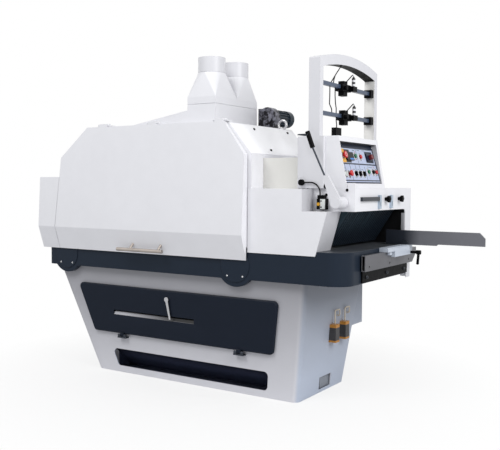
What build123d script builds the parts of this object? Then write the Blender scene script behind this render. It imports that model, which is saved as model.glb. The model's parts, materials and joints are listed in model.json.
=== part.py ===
from build123d import *
import math
import os

# Multi-rip saw with a chain feed and a top saw arbor. Millimetres, +Z up, +X towards the infeed end,
# -Y towards the operator. The origin lies on the floor under the middle of the base.
# A RISE is a height above the table, a DROP a depth below a named level.

# Base cabinet
BASE_LENGTH = 1480
BASE_WIDTH = 590
BASE_HEIGHT = 665
OUTFEED_FLARE = 360
INFEED_FLARE = 45
FAR_FLARE = 183
BASE_CORNER = 36
BASE_SHEET = 6
CABLE_HOLE_NEAR_Y = -40
CABLE_HOLE_WIDTH = 145
CABLE_HOLE_LOW_Z = 20
CABLE_HOLE_HEIGHT = 70
TOE_LOW_Z = 40
TOE_HEIGHT = 108
TOE_LOW_MARGINS = (196, 195)
TOE_HIGH_MARGINS = (203, 197)
TRAY_DEPTH = 190
TRAY_RISE = 34
TRAY_OVERLAP = 22
ELECTRIC_BOX_LENGTH = 450
ELECTRIC_BOX_HEIGHT = 300
ELECTRIC_BOX_MARGIN = 40
ELECTRIC_BOX_DROP = 55
ELECTRIC_BOX_REACH = 84

# Drop-down door of the base and its latch
DOOR_LOW_Z = 252
DOOR_HEIGHT = 304
DOOR_LOW_MARGINS = (121, 165)
DOOR_HIGH_MARGINS = (138, 157)
DOOR_DEPTH = 20
DOOR_CORNER = 26
DOOR_BEVEL = 6
DOOR_RIM = 14
DOORWAY_RIM = 32
SLOT_X = -270
SLOT_LENGTH = 636
SLOT_FOOT = 110
SLOT_HEIGHT = 38
SLOT_DEPTH = 13
SLOT_THROAT = 8
HINGE_INSETS = (242, 222)
DOOR_PIN = 4
DOOR_KNUCKLE = 7
KNUCKLE_LENGTH = 24
EAR_LENGTH = 18
EAR_SPREAD = 23
LEAF = 8
LATCH_X = -149
LATCH_DROP = 53
LATCH_SHAFT = 7
LATCH_BOSS = 15
LATCH_OUT = 16
LATCH_BAR = 9
LATCH_LENGTH = 120
LATCH_BEND = 34
TONGUE_LENGTH = 42

# Bed that carries the feed chain
BED_HEIGHT = 180
BED_TAIL = 164
BED_HEAD = 686
BED_WIDTH = 897
BED_OVERHANG = 36
BED_WALL = 20
BED_TOP_PLATE = 22
BED_FOOT_PLATE = 12
BED_NOSE_RADIUS = 110
BED_CORNER = 25
BED_RIMS = (87, 294, 67, 126)

# Feed chain and its two shafts
SHAFT_SPAN = 1335
DRIVE_SHAFT_X = 350
SHAFT_RADIUS = 30
CHAIN_RADIUS = 99
CHAIN_BAND = 12
CHAIN_PAD = 16
CHAIN_NEAR_Y = 20
CHAIN_WIDTH = 300
CHAIN_PITCH = 63.5
CHAIN_ROOM = 8
PAD_GAP = 4
SPROCKET_INSET = 45
SPROCKET_WIDTH = 36
LOBE_RADIUS = 125
LOBE_DEPTH = 32
COVER_RADIUS = 96
COVER_DEPTH = 5
CHAIN_RAIL_INSET = 110
CHAIN_RAIL_WIDTH = 120
CHAIN_RAIL_HEIGHT = 34
CHAIN_RIB_INSETS = (285, 450)
CHAIN_RIB = 50
CHAIN_RIB_DEPTH = 60
GEARBOX_SIZE = 140
GEARBOX_DEPTH = 110
GEARMOTOR_RADIUS = 52
GEARMOTOR_LENGTH = 260

# Saw arbor and its blades
ARBOR_X = -300
ARBOR_RISE = 165
ARBOR_RADIUS = 35
BLADE_RADIUS = 160
BLADE_THICKNESS = 4
BLADE_TEETH = 24
BLADE_COUNT = 5
BLADE_PITCH = 56
BLADE_INSET = 24
TOOTH_DEPTH = 12
TOOTH_CREST = 3
RAKER_START = 78
RAKER_END = 128
RAKER_WIDTH = 8
SPACER = 18
NUT_INSET = 14
BARREL = 35
BARREL_FLANGE = 62

# Main motor and belt drive
MOTOR_RADIUS = 140
MOTOR_Z = 200
MOTOR_LENGTH = 375
MOTOR_INSET = 10
MOTOR_BORE = 80
MOTOR_FOOT = 260
MOTOR_FIN = 10
MOTOR_FINS = 20
PULLEY_RADIUS = 90
PULLEY_LIP = 6
BELT_THICKNESS = 12
BELT_WIDTH = 46
BELT_OUT = 39
BELT_GRIP_GAP = 0.4
DRIVE_COVER_HALF = 150
DRIVE_COVER_LOW_Z = 60
DRIVE_COVER_ROOM = 45

# Pressure rollers
ROLLER_RADIUS = 45
ROLLER_RISE = 140
ROLLER_PIN = 12
ROLLER_REACH = 270
PRESS_PLATE = 24
PRESS_PLATE_LIFT = 70
PRESS_CHEEK = 16
PRESS_OVERHANG = 34
PRESS_SIDE = 30
PRESS_TAPER = 14
GUIDE_RADIUS = 16
GUIDE_INSET = 40
GUIDE_SLEEVE = 14
GUIDE_SLEEVE_LENGTH = 70
GUIDE_FOOT = 20

# Saw housing and the lift-up hood
HOUSING_TAIL = 15
HOUSING_HEAD = 105
HOUSING_SETBACK = 2
HOUSING_BACK = 171
HOUSING_SHEET = 6
HOUSING_RETURN = 30
SHOULDER_RISE = 525
ROOF_RISE = 712
OUTFEED_SHOULDER = 230
INFEED_SHOULDER = 155
SHOULDER_SHEET = 4
HOOD_TAIL = 35
HOOD_HEAD = 25
HOOD_LEAN = 38
HOOD_DROP = 69
HOOD_OVER = 3
CREASE_RISE = 74
HOOD_FOOT_OUT = 16
HOOD_CREASE_OUT = 63
HOOD_TOP_OUT = 31
HOOD_SHEET = 4
HOOD_RELIEF = 75
HOOD_RELIEF_WALL = 5
HOOD_PIN = 5
HOOD_LUG = 9
HOOD_LUG_LENGTH = 60
HOOD_EAR = 8
HOOD_EAR_SPREAD = 39
HINGE_OUT = 11
HINGE_LIFT = 10
HINGE_PLATE = 6
HOOD_HINGES = (130, 530, 50)
PASS_RISE = 215
PASS_NEAR_Y = -150
PASS_WIDTH = 530
PASS_CORNER = 25
END_HOUSING_LENGTH = 190
END_HOUSING_RISE = 400
END_HOUSING_OUT = 14
HANDLE_X = -485
HANDLE_LENGTH = 355
HANDLE_RADIUS = 11
HANDLE_POSTS = (100, 320)
HANDLE_POST_RADIUS = 8
HANDLE_REACH = 52
HANDLE_LIFT = 24
HANDLE_FOOT_LIFT = 60

# Dust hood with two round outlets
PLENUM_INSET = 182
PLENUM_LENGTH = 208
PLENUM_SETBACK = 129
PLENUM_WIDTH = 465
PLENUM_HEIGHT = 130
PLENUM_SHEET = 4
PLENUM_SEAM = 3
RAMP_LENGTH = 550
RAMP_HEIGHT = 94
DUCT_RIM = 20
DUCT_HALF = 60
OUTLET_RADIUS = 84
OUTLET_BAND = 42
OUTLET_RISE = 197
OUTLET_COLLAR = 88
OUTLET_SLEEVE = 3
OUTLET_STEP = 2
OUTLET_SHEET = 3
OUTLET_BENDS = 6
OUTLET_LEANS = (-8, 18)

# Lift gear motor and lifting eye on the roof
LIFT_OUT = 72
LIFT_SETBACK = 123
LIFT_HEIGHT = 80
LIFT_RADIUS = 62
LIFT_GEARBOX = 62
LIFT_BOSS = 40
LIFT_BOSS_LENGTH = 10
LIFT_MOTOR_RADIUS = 46
LIFT_MOTOR_FLANGE = 55
LIFT_MOTOR_LENGTH = 200
LIFT_FAN_LENGTH = 50
LIFT_FINS = 16
LIFT_FIN = 8
LIFT_FLANGE = 14
TERMINAL_BOX = 60
TERMINAL_BOX_OUT = 82
EYE_INSET = 15
EYE_SETBACK = 90
EYE_RADIUS = 36
EYE_THICKNESS = 15
EYE_TURN = 35

# Infeed housing and its side guard
FRONT_INSET = 8
NEAR_PLATE_INSET = 128
FRONT_OVERHANG = 64
LEDGE_RISE = 342
STEP_BACK = 189
STEP_RISE = 510
PLATE = 5
TAB_LENGTH = 43
TAB_HEIGHT = 27
SKIRT_DROP = 211
SKIRT_RETURN = 60
MOUTH_FAR_Y = 537
MOUTH_POST = 25
SIGHT_HOLE = 6
GUARD_SHEET = 4
GUARD_STEP_BACK = 249
GUARD_DROP = 24
GUARD_RISE = 336
GUARD_LEAN_LOW_BACK = 166
GUARD_LEAN_HIGH_BACK = 97
GUARD_LIP = 37

# Control console with its sunk faceplate
CONSOLE_DEPTH = 343
CONSOLE_RISE = 625
CONSOLE_TOP_BACK = 100
CONSOLE_FOOT_BACK = 46
CONSOLE_WIDTH = 525
CONSOLE_SHEET = 4
PANEL_INSET = 5
PANEL_WIDTH = 490
PANEL_LOW_S = 26
PANEL_HIGH_S = 258
PANEL_FOOT_SUNK = 4
PANEL_TOP_SUNK = 32
PANEL_PLATE = 4
PANEL_LEDGE = 8
TRAY_SHEET = 3
ESTOP = (-145, 160)
START_BUTTON = (13, 161)
STOP_BUTTON = (79, 158)
SPEED_KNOB = (211, 158)
DISPLAY = (-57, 158)
SELECTOR_LEFT = (-173, 54)
MUSHROOM = (-132, 54)
SELECTORS = (("selector_a", (-42, 56)), ("selector_b", (13, 56)), ("selector_c", (68, 56)))
LOWER_BUTTONS = (("button_up", (140, 69)), ("button_black", (203, 69)), ("button_down", (246, 69)))
BUTTON_STEM = 8
BUTTON_STEM_LENGTH = 24
BUTTON_RADIUS = 11.6
BUTTON_CAP = 7
BUTTON_LIFT = 6
KNOB_STEM = 5
KNOB_STEM_LENGTH = 20
KNOB_RADIUS = 16
KNOB_CAP = 18
KNOB_LIFT = 6.5
SELECTOR_RADIUS = 13
SELECTOR_DISC = 5
SELECTOR_GRIP = (7, 26, 12)
MUSHROOM_STEM_LENGTH = 34
MUSHROOM_HEAD = 6
MUSHROOM_LIFT = 13
ESTOP_RADIUS = 20
MUSHROOM_RADIUS = 17
DISPLAY_SIZE = (88, 48, 8)
ESTOP_PLATE = (54, 78, 3)
ESTOP_PLATE_HOLE = 17
KNOB_PLATE = (84, 46, 6)
BEZEL_RADIUS = 15
BEZEL_BORE = 12
BEZEL_HEIGHT = 4

# Side column and laser arch
COLUMN_OUT = 15
COLUMN_FRONT = 10
COLUMN_CORNER = 5
COLUMN_LIFT = 3
ARCH_DEPTH = 67
ARCH_FRONT_BACK = 208
ARCH_FAR_INSET = 4
ARCH_LEG = 40
ARCH_SHOULDER_RISE = 1054
ARCH_CROWN = 51
ARCH_INNER_DROP = 47
ARCH_INNER_CROWN = 41
ARCH_CORNER = 7
ARCH_SHEET = 3
BAR_SIZE = 22
BAR_BACK = 30
BAR_HIGH_RISE = 925
BAR_LOW_RISE = 758
BAR_BRACKET = 36
BAR_BRACKET_HALF = 24
DRIVER_SIZE = (30, 68, 62)
DRIVER_NEAR_Y = 20

# Line lasers that slide on the bars
LASERS = (("laser_upper", BAR_HIGH_RISE, 131), ("laser_lower", BAR_LOW_RISE, 144))
LASER_RADIUS = 10.5
LASER_LIFT = 8
LASER_LENGTH = 50
LASER_CAP = 7
LASER_ALONG = 64
LASER_OUT = 38
LASER_LEAD = 3
CLAMP_BLOCK = (36, 48, 85)
CLAMP_BLOCK_DROP = 50
SLEEVE_HALF = 24
SLEEVE_NEAR = 52
SLEEVE_FAR = 60
SLEEVE_DROP = 24
SLEEVE_LIFT = 16
SHELF = (24, 54, 30)
SHELF_DROP = 20
THUMB_RADIUS = 12
THUMB_LENGTH = 18

# Front rail and the fence on it
RAIL_STANDOFF = 10
RAIL_DEPTH = 24
RAIL_DROP = 22
RAIL_HEIGHT = 88
RAIL_NEAR_INSET = 184
RAIL_OVERHANG = 60
RAIL_NOSE = 66
RAIL_NOSE_HEIGHT = 54
RAIL_WALL = 5
RAIL_END_WALL = 90
RAIL_HOLES = (55, 348, 645)
RAIL_HOLE = 7
RAIL_HOLE_LIFT = 22
MOUNT_INSET = 19
MOUNT_LIFT = 6
MOUNT_DROP = 23
FENCE_Y = 450
FENCE_THICKNESS = 10
FENCE_LENGTH = 601
FENCE_INNER_BACK = 91
FENCE_RISE = 89
FENCE_STEP_X = 317
FENCE_STEP = 8
FENCE_CORNER = 32
CARRIAGE_NEAR = 335
CARRIAGE_FAR = 45
CARRIAGE_DEPTH = 24
CARRIAGE_LIFT = 3
CARRIAGE_BEVEL = 8
APRON_INSET = 105
APRON_DROP = 33
STOP_PAD = 30
STOP_PAD_INSET = 45
STOP_PAD_DROP = 19
BOSS_RADIUS = 22
BOSS_LIFT = 6
BOSS_NEAR = 60
BOSS_FAR = 26
CLAMP_ALONG = 20
CLAMP_DROP = 21
CLAMP_RADIUS = 8
CLAMP_HUB = 13
CLAMP_HUB_LENGTH = 26
CLAMP_REACH = 36
CLAMP_ARM = 66
CLAMP_LEAN = 5
CLAMP_BALL = 9

# Hand lever on the anti-kickback finger shaft
LEVER_BACK = 70
LEVER_RISE = 263
LEVER_OUT = 82
LEVER_HUB = 34
LEVER_CAP = 30
LEVER_CAP_HEIGHT = 4
LEVER_ARM = 14
LEVER_ARM_OUTLINE = ((-34, 6), (33, 12), (-49, 148), (-80, 144))
LEVER_ROD = 5
LEVER_ROD_FOOT = (-61, 128)
LEVER_ROD_TOP = (-147, 304)
GRIP_RADIUS = 13
GRIP_FOOT = (-143, 296)
GRIP_TOP = (-176, 382)
TRIGGER = (-170, 366)
TRIGGER_PIN = 4
TRIGGER_WIDTH = 10
TRIGGER_OUTLINE = ((5, -5), (5, 5), (-60, 4), (-66, -2), (-22, -8))
TRIGGER_NOTCH = (-40, 9)
TRIGGER_NOTCH_HALF = 12
FINGER_SHAFT_RADIUS = 14
FINGER_THICKNESS = 20
FINGER_PITCH = 28
FINGER_COUNT = 24
FINGER_START = 40
FINGER_HEAD = ((-26, 8), (24, 12), (24, -30))
FINGER_TIP_BACK = 128
FINGER_TIP_LIFT = 16
FINGER_TIP = ((14, 0), (-16, 22))

# Small fittings
SWITCH_BACK = 208
SWITCH_SIZE = (52, 38, 58)
SWITCH_LIFT = 10
SWITCH_CAP = (40, 34, 20)
SWITCH_ROLLER = 9
SWITCH_ROLLER_LENGTH = 7
SWITCH_ROLLER_X = 12
GLAND_BACK = 312
GLAND_LIFT = 29
GLAND_RADIUS = 17
GLAND_LENGTH = 16
LEAD_RADIUS = 4
LEAD_OUT = 9
LEAD_BEND = 58
LEAD_END_BACK = 195
PLUG_BACK = 162
PLUG_RADIUS = 16
PLUG_LENGTH = 14
PLUG_LIFT = 9
GAUGE_DEPTH = 14
GAUGE_NEAR_Y = -130
GAUGE_LENGTH = 238
GAUGE_LIFT = 56
GAUGE_HEIGHT = 22
STOP_BAR_YS = (121, 294)
STOP_BAR_WIDTH = 24
STOP_BAR_LIFT = 10
STOP_BAR_HEIGHT = 78
STOP_SLOT_WIDTH = 8
STOP_SLOT_LIFT = 14
STOP_SLOT_HEIGHT = 26
STARS = (("star_knob_near", 217), ("star_knob_far", 421))
STAR_LIFT = 64
STAR_HUB = 13
STAR_LOBE = 7
STAR_LOBES = 5
STAR_LENGTH = 22
POST_RADIUS = 10
POST_LENGTH = 10
LUBE_YS = (45, 178)
LUBE_WIDTH = 50
LUBE_OUT = 66
LUBE_LOW_Z = 285
LUBE_HEIGHT = 105
TUBE_RADIUS = 4
TUBE_BEND = 9
TUBE_RISE = 81
TUBE_RUN = 62
TUBE_DROP = 38
TUBE_OUT = 48

# Clearances
RUNNING = 0.05
SLIDING = 0.2
SEAT_GAP = 0.3
FREE = 0.5
WORKING_GAP = 2
PANEL_GAP = 3
OVERCUT = 1

# Levels and places worked out from the sizes above
HALF_LENGTH = BASE_LENGTH / 2
HALF_WIDTH = BASE_WIDTH / 2
BASE_NEAR_Y = -HALF_WIDTH
TABLE_Z = BASE_HEIGHT + BED_HEIGHT
IDLER_SHAFT_X = DRIVE_SHAFT_X - SHAFT_SPAN
SHAFT_Z = TABLE_Z - CHAIN_RADIUS - OVERCUT
SHAFT_XS = (DRIVE_SHAFT_X, IDLER_SHAFT_X)
SPROCKET_RADIUS = CHAIN_RADIUS - CHAIN_PAD - CHAIN_BAND - FREE
CHAIN_FAR_Y = CHAIN_NEAR_Y + CHAIN_WIDTH
BED_OUTFEED_X = IDLER_SHAFT_X - BED_TAIL
BED_INFEED_X = DRIVE_SHAFT_X + BED_HEAD
BED_NEAR_Y = BASE_NEAR_Y - BED_OVERHANG
BED_FAR_Y = BED_NEAR_Y + BED_WIDTH
DOOR_HIGH_Z = DOOR_LOW_Z + DOOR_HEIGHT
DOOR_BACK_Y = BASE_NEAR_Y - WORKING_GAP
DOOR_FACE_Y = DOOR_BACK_Y - DOOR_DEPTH
DOOR_HINGE_Y = DOOR_FACE_Y - PANEL_GAP
DOOR_HINGE_Z = DOOR_LOW_Z - LEAF
SLOT_SPAN = (SLOT_X - SLOT_LENGTH / 2, SLOT_X + SLOT_LENGTH / 2)
SLOT_LOW_Z = DOOR_LOW_Z + SLOT_FOOT
SLOT_HIGH_Z = SLOT_LOW_Z + SLOT_HEIGHT
LATCH_Z = DOOR_HIGH_Z - LATCH_DROP
HOUSING_OUTFEED_X = IDLER_SHAFT_X - HOUSING_TAIL
HOUSING_INFEED_X = DRIVE_SHAFT_X + HOUSING_HEAD
HOUSING_NEAR_Y = BED_NEAR_Y + HOUSING_SETBACK
HOUSING_FAR_Y = BED_FAR_Y - HOUSING_BACK
SHOULDER_Z = TABLE_Z + SHOULDER_RISE
ROOF_Z = TABLE_Z + ROOF_RISE
ROOF_OUTFEED_X = HOUSING_OUTFEED_X + OUTFEED_SHOULDER
ROOF_INFEED_X = HOUSING_INFEED_X - INFEED_SHOULDER
PASS_Z = TABLE_Z + PASS_RISE
PASS_SPAN = (PASS_NEAR_Y, PASS_NEAR_Y + PASS_WIDTH)
HOOD_OUTFEED_X = HOUSING_OUTFEED_X - HOOD_TAIL
HOOD_INFEED_X = HOUSING_INFEED_X - HOOD_HEAD
HOOD_LOW_Z = TABLE_Z - HOOD_DROP
HOOD_CREASE_Z = TABLE_Z + CREASE_RISE
HOOD_TOP_Z = ROOF_Z + HOOD_OVER
HOOD_LOW_Y = HOUSING_NEAR_Y - HOOD_FOOT_OUT
HOOD_CREASE_Y = HOUSING_NEAR_Y - HOOD_CREASE_OUT
HOOD_TOP_Y = HOUSING_NEAR_Y - HOOD_TOP_OUT
HOOD_BACK_Y = HOUSING_NEAR_Y - PANEL_GAP
HINGE_Y = HOUSING_NEAR_Y - HINGE_OUT
HINGE_Z = HOOD_TOP_Z + HINGE_LIFT
HINGE_XS = (ROOF_OUTFEED_X + HOOD_HINGES[0], ROOF_OUTFEED_X + HOOD_HINGES[1],
            ROOF_INFEED_X - HOOD_HINGES[2])
END_HOUSING_X = HOUSING_OUTFEED_X - END_HOUSING_LENGTH
END_HOUSING_Z = TABLE_Z + END_HOUSING_RISE
HANDLE_Z = HOOD_LOW_Z + HANDLE_LIFT
PLENUM_HIGH_X = ROOF_INFEED_X - PLENUM_INSET
PLENUM_LOW_X = PLENUM_HIGH_X - PLENUM_LENGTH
PLENUM_NEAR_Y = HOUSING_NEAR_Y + PLENUM_SETBACK
PLENUM_FAR_Y = PLENUM_NEAR_Y + PLENUM_WIDTH
PLENUM_TOP_Z = ROOF_Z + PLENUM_HEIGHT
RAMP_START_X = PLENUM_LOW_X - RAMP_LENGTH
OUTLET_X = PLENUM_LOW_X + PLENUM_LENGTH / 2
OUTLET_BREADTH = PLENUM_WIDTH / 2
OUTLET_YS = (PLENUM_NEAR_Y + OUTLET_BREADTH / 2, PLENUM_FAR_Y - OUTLET_BREADTH / 2)
COLLAR_YS = (OUTLET_YS[0] + OUTLET_LEANS[0], OUTLET_YS[1] + OUTLET_LEANS[1])
OUTLET_NECK_Z = PLENUM_TOP_Z + OUTLET_RISE
OUTLET_TOP_Z = OUTLET_NECK_Z + OUTLET_COLLAR
LIFT_X = PLENUM_HIGH_X + LIFT_OUT
LIFT_Y = HOUSING_FAR_Y - LIFT_SETBACK
LIFT_Z = ROOF_Z + LIFT_HEIGHT
EYE_X = ROOF_INFEED_X - EYE_INSET
EYE_Y = HOUSING_FAR_Y - EYE_SETBACK
FRONT_X = BED_INFEED_X - FRONT_INSET
NEAR_PLATE_Y = BED_NEAR_Y + NEAR_PLATE_INSET
FRONT_FAR_Y = BED_FAR_Y + FRONT_OVERHANG
LEDGE_Z = TABLE_Z + LEDGE_RISE
STEP_X = FRONT_X - STEP_BACK
STEP_Z = TABLE_Z + STEP_RISE
GUARD_OUTFEED_X = HOOD_INFEED_X + GUARD_SHEET
GUARD_STEP_X = FRONT_X - GUARD_STEP_BACK
GUARD_LOW_Z = TABLE_Z - GUARD_DROP
GUARD_TOP_Z = TABLE_Z + GUARD_RISE
GUARD_LEAN_LOW_X = FRONT_X - GUARD_LEAN_LOW_BACK
GUARD_LEAN_HIGH_X = FRONT_X - GUARD_LEAN_HIGH_BACK
CONSOLE_BACK_X = FRONT_X - CONSOLE_DEPTH
CONSOLE_TOP_X = FRONT_X - CONSOLE_TOP_BACK
CONSOLE_FOOT_X = FRONT_X - CONSOLE_FOOT_BACK
CONSOLE_TOP_Z = TABLE_Z + CONSOLE_RISE
CONSOLE_FAR_Y = NEAR_PLATE_Y + CONSOLE_WIDTH
CONSOLE_SLANT = math.atan2(CONSOLE_FOOT_X - CONSOLE_TOP_X, CONSOLE_TOP_Z - LEDGE_Z)
PANEL_TILT = math.atan2(PANEL_TOP_SUNK - PANEL_FOOT_SUNK, PANEL_HIGH_S - PANEL_LOW_S)
PANEL_NEAR_Y = NEAR_PLATE_Y + PANEL_INSET
PANEL_FAR_Y = PANEL_NEAR_Y + PANEL_WIDTH
COLUMN_NEAR_Y = NEAR_PLATE_Y - COLUMN_OUT
COLUMN_FRONT_X = STEP_X + COLUMN_FRONT
ARCH_FRONT_X = FRONT_X - ARCH_FRONT_BACK
ARCH_BACK_X = ARCH_FRONT_X - ARCH_DEPTH
ARCH_FAR_Y = BED_FAR_Y - ARCH_FAR_INSET
ARCH_SHOULDER_Z = TABLE_Z + ARCH_SHOULDER_RISE
BAR_X = ARCH_FRONT_X - BAR_BACK
BAR_HIGH_Z = TABLE_Z + BAR_HIGH_RISE
BAR_LOW_Z = TABLE_Z + BAR_LOW_RISE
RAIL_BACK_X = BED_INFEED_X + RAIL_STANDOFF
RAIL_FACE_X = RAIL_BACK_X + RAIL_DEPTH
RAIL_HIGH_Z = TABLE_Z - RAIL_DROP
RAIL_LOW_Z = RAIL_HIGH_Z - RAIL_HEIGHT
RAIL_NEAR_Y = BED_NEAR_Y + RAIL_NEAR_INSET
RAIL_FAR_Y = BED_FAR_Y + RAIL_OVERHANG
CARRIAGE_NEAR_Y = FENCE_Y - CARRIAGE_NEAR
CARRIAGE_FAR_Y = FENCE_Y + CARRIAGE_FAR
CARRIAGE_FACE_X = RAIL_FACE_X + CARRIAGE_DEPTH
CARRIAGE_TOP_Z = TABLE_Z + CARRIAGE_LIFT
FENCE_INNER_X = BED_INFEED_X - FENCE_INNER_BACK
FENCE_OUTER_X = FENCE_INNER_X + FENCE_LENGTH
FENCE_TOP_Z = TABLE_Z + FENCE_RISE
CLAMP_Y = FENCE_Y + CLAMP_ALONG
CLAMP_Z = RAIL_HIGH_Z - CLAMP_DROP
LEVER_X = FRONT_X - LEVER_BACK
LEVER_Y = NEAR_PLATE_Y - LEVER_OUT
LEVER_Z = TABLE_Z + LEVER_RISE
TRIGGER_X = LEVER_X + TRIGGER[0]
TRIGGER_Z = LEVER_Z + TRIGGER[1]
SWITCH_X = FRONT_X - SWITCH_BACK
SWITCH_Z = PASS_Z + SWITCH_LIFT
GLAND_X = FRONT_X - GLAND_BACK
GLAND_Z = LEDGE_Z + GLAND_LIFT
STAR_Z = PASS_Z + STAR_LIFT
ARBOR_Z = TABLE_Z + ARBOR_RISE
BELT_Y = BED_FAR_Y + BELT_OUT
BELT_SPAN = (BELT_Y - BELT_WIDTH / 2, BELT_Y + BELT_WIDTH / 2)
MOTOR_FAR_Y = HALF_WIDTH - MOTOR_INSET
ROLLER_Z = TABLE_Z + ROLLER_RISE
PRESSES = (("infeed", ARBOR_X + ROLLER_REACH), ("outfeed", ARBOR_X - ROLLER_REACH))
PRESS_PLATE_Z = ROLLER_Z + PRESS_PLATE_LIFT
PRESS_SPAN = (CHAIN_NEAR_Y - PRESS_OVERHANG, CHAIN_FAR_Y + PRESS_OVERHANG)
GUIDE_YS = (CHAIN_NEAR_Y + GUIDE_INSET, CHAIN_FAR_Y - GUIDE_INSET)


def block(x_span, y_span, z_span):
    """Box between low and high limits on each axis."""
    spans = (x_span, y_span, z_span)
    size = [high - low for low, high in spans]
    middle = [(high + low) / 2 for low, high in spans]
    return Pos(*middle) * Box(*size)


def around(middle, half):
    """Span of a given half size around a middle."""
    return (middle - half, middle + half)


def grown(span, margin):
    """Span made longer by a margin at both ends."""
    return (span[0] - margin, span[1] + margin)


def side_prism(points, y_span):
    """Outline given as (x, z) points, carried across the machine in Y."""
    plane = Plane(origin=(0, y_span[0], 0), x_dir=(1, 0, 0), z_dir=(0, -1, 0))
    face = plane * make_face(Polyline(*points, close=True))
    return extrude(face, amount=y_span[1] - y_span[0], dir=(0, 1, 0))


def end_prism(points, x_span):
    """Outline given as (y, z) points, carried along the machine in X."""
    plane = Plane(origin=(x_span[0], 0, 0), x_dir=(0, 1, 0), z_dir=(1, 0, 0))
    face = plane * make_face(Polyline(*points, close=True))
    return extrude(face, amount=x_span[1] - x_span[0], dir=(1, 0, 0))


def rod_x(y, z, radius, x_span):
    """Round bar along X."""
    length = x_span[1] - x_span[0]
    return Pos((x_span[0] + x_span[1]) / 2, y, z) * Rot(0, 90, 0) * Cylinder(radius, length)


def rod_y(x, z, radius, y_span):
    """Round bar along Y."""
    length = y_span[1] - y_span[0]
    return Pos(x, (y_span[0] + y_span[1]) / 2, z) * Rot(90, 0, 0) * Cylinder(radius, length)


def rod_z(x, y, radius, z_span):
    """Round bar along Z."""
    length = z_span[1] - z_span[0]
    return Pos(x, y, (z_span[0] + z_span[1]) / 2) * Cylinder(radius, length)


def round_along(path, radius):
    """Round bar or lead along a path."""
    return sweep(Plane(origin=path @ 0, z_dir=path % 0) * Circle(radius), path=path)


def rod_between(start, end, radius):
    """Round bar between two points."""
    return round_along(Line(start, end), radius)


def upright_edges(shape, least_rise):
    """Edges of a shape that climb at least the given height."""
    return [edge for edge in shape.edges() if abs((edge @ 1).Z - (edge @ 0).Z) > least_rise]


def outfeed_edge(z):
    """Outfeed end of the tapered base at a height."""
    return -HALF_LENGTH - OUTFEED_FLARE * z / BASE_HEIGHT


def infeed_edge(z):
    """Infeed end of the tapered base at a height."""
    return HALF_LENGTH + INFEED_FLARE * z / BASE_HEIGHT


def cabinet_hull(inset, z_span):
    """Tapered body of the base, drawn in by an inset on all four sides."""
    def far_y(z):
        return HALF_WIDTH + FAR_FLARE * z / BASE_HEIGHT - inset

    low, high = z_span
    reach = 2 * BASE_LENGTH
    side = [(outfeed_edge(low) + inset, low), (infeed_edge(low) - inset, low),
            (infeed_edge(high) - inset, high), (outfeed_edge(high) + inset, high)]
    near_y = BASE_NEAR_Y + inset
    end = [(near_y, low), (far_y(low), low), (far_y(high), high), (near_y, high)]
    hull = side_prism(side, (-reach, reach)) & end_prism(end, (-reach, reach))
    return fillet(upright_edges(hull, (high - low) / 2), BASE_CORNER - inset)


def base_panel(z_span, low_margins, high_margins):
    """Four corners of a panel in the near face of the base, by its margins to the two leaning ends."""
    low, high = z_span
    return [(outfeed_edge(low) + low_margins[0], low), (infeed_edge(low) - low_margins[1], low),
            (infeed_edge(high) - high_margins[1], high), (outfeed_edge(high) + high_margins[0], high)]


def drawn_in(corners, rim):
    """Corners of a base panel moved in by a rim, twice as far where the outfeed edge leans out."""
    (a, low), (b, _), (c, high), (d, _) = corners
    return [(a + rim, low + rim), (b - rim, low + rim), (c - rim, high - rim), (d + 2 * rim, high - rim)]


def rounded_panel(points, radius, y_span):
    """Flat panel facing the operator with rounded corners."""
    panel = side_prism(points, y_span)
    corners = [edge for edge in panel.edges() if abs((edge @ 1).Y - (edge @ 0).Y) > OVERCUT]
    return fillet(corners, radius)


def door_corners():
    return base_panel((DOOR_LOW_Z, DOOR_HIGH_Z), DOOR_LOW_MARGINS, DOOR_HIGH_MARGINS)


def toe_corners():
    return base_panel((TOE_LOW_Z, TOE_LOW_Z + TOE_HEIGHT), TOE_LOW_MARGINS, TOE_HIGH_MARGINS)


def door_hinge_xs():
    corners = door_corners()
    return (corners[0][0] + HINGE_INSETS[0], corners[1][0] - HINGE_INSETS[1])


def base_cabinet():
    shell = cabinet_hull(0, (0, BASE_HEIGHT))
    shell -= cabinet_hull(BASE_SHEET, (BASE_SHEET, BASE_HEIGHT + BASE_SHEET))
    wall = grown((BASE_NEAR_Y, BASE_NEAR_Y + BASE_SHEET), OVERCUT)
    shell -= rounded_panel(drawn_in(door_corners(), DOORWAY_RIM), DOOR_CORNER, wall)
    shell -= rounded_panel(toe_corners(), DOOR_CORNER, wall)
    hole_y = (CABLE_HOLE_NEAR_Y, CABLE_HOLE_NEAR_Y + CABLE_HOLE_WIDTH)
    hole_z = (CABLE_HOLE_LOW_Z, CABLE_HOLE_LOW_Z + CABLE_HOLE_HEIGHT)
    shell -= block(around(HALF_LENGTH, INFEED_FLARE), hole_y, hole_z)
    shell -= rod_y(ARBOR_X, MOTOR_Z, 1.5 * SHAFT_RADIUS, (HALF_WIDTH - BED_WALL, HALF_WIDTH + FAR_FLARE))
    return shell


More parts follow.
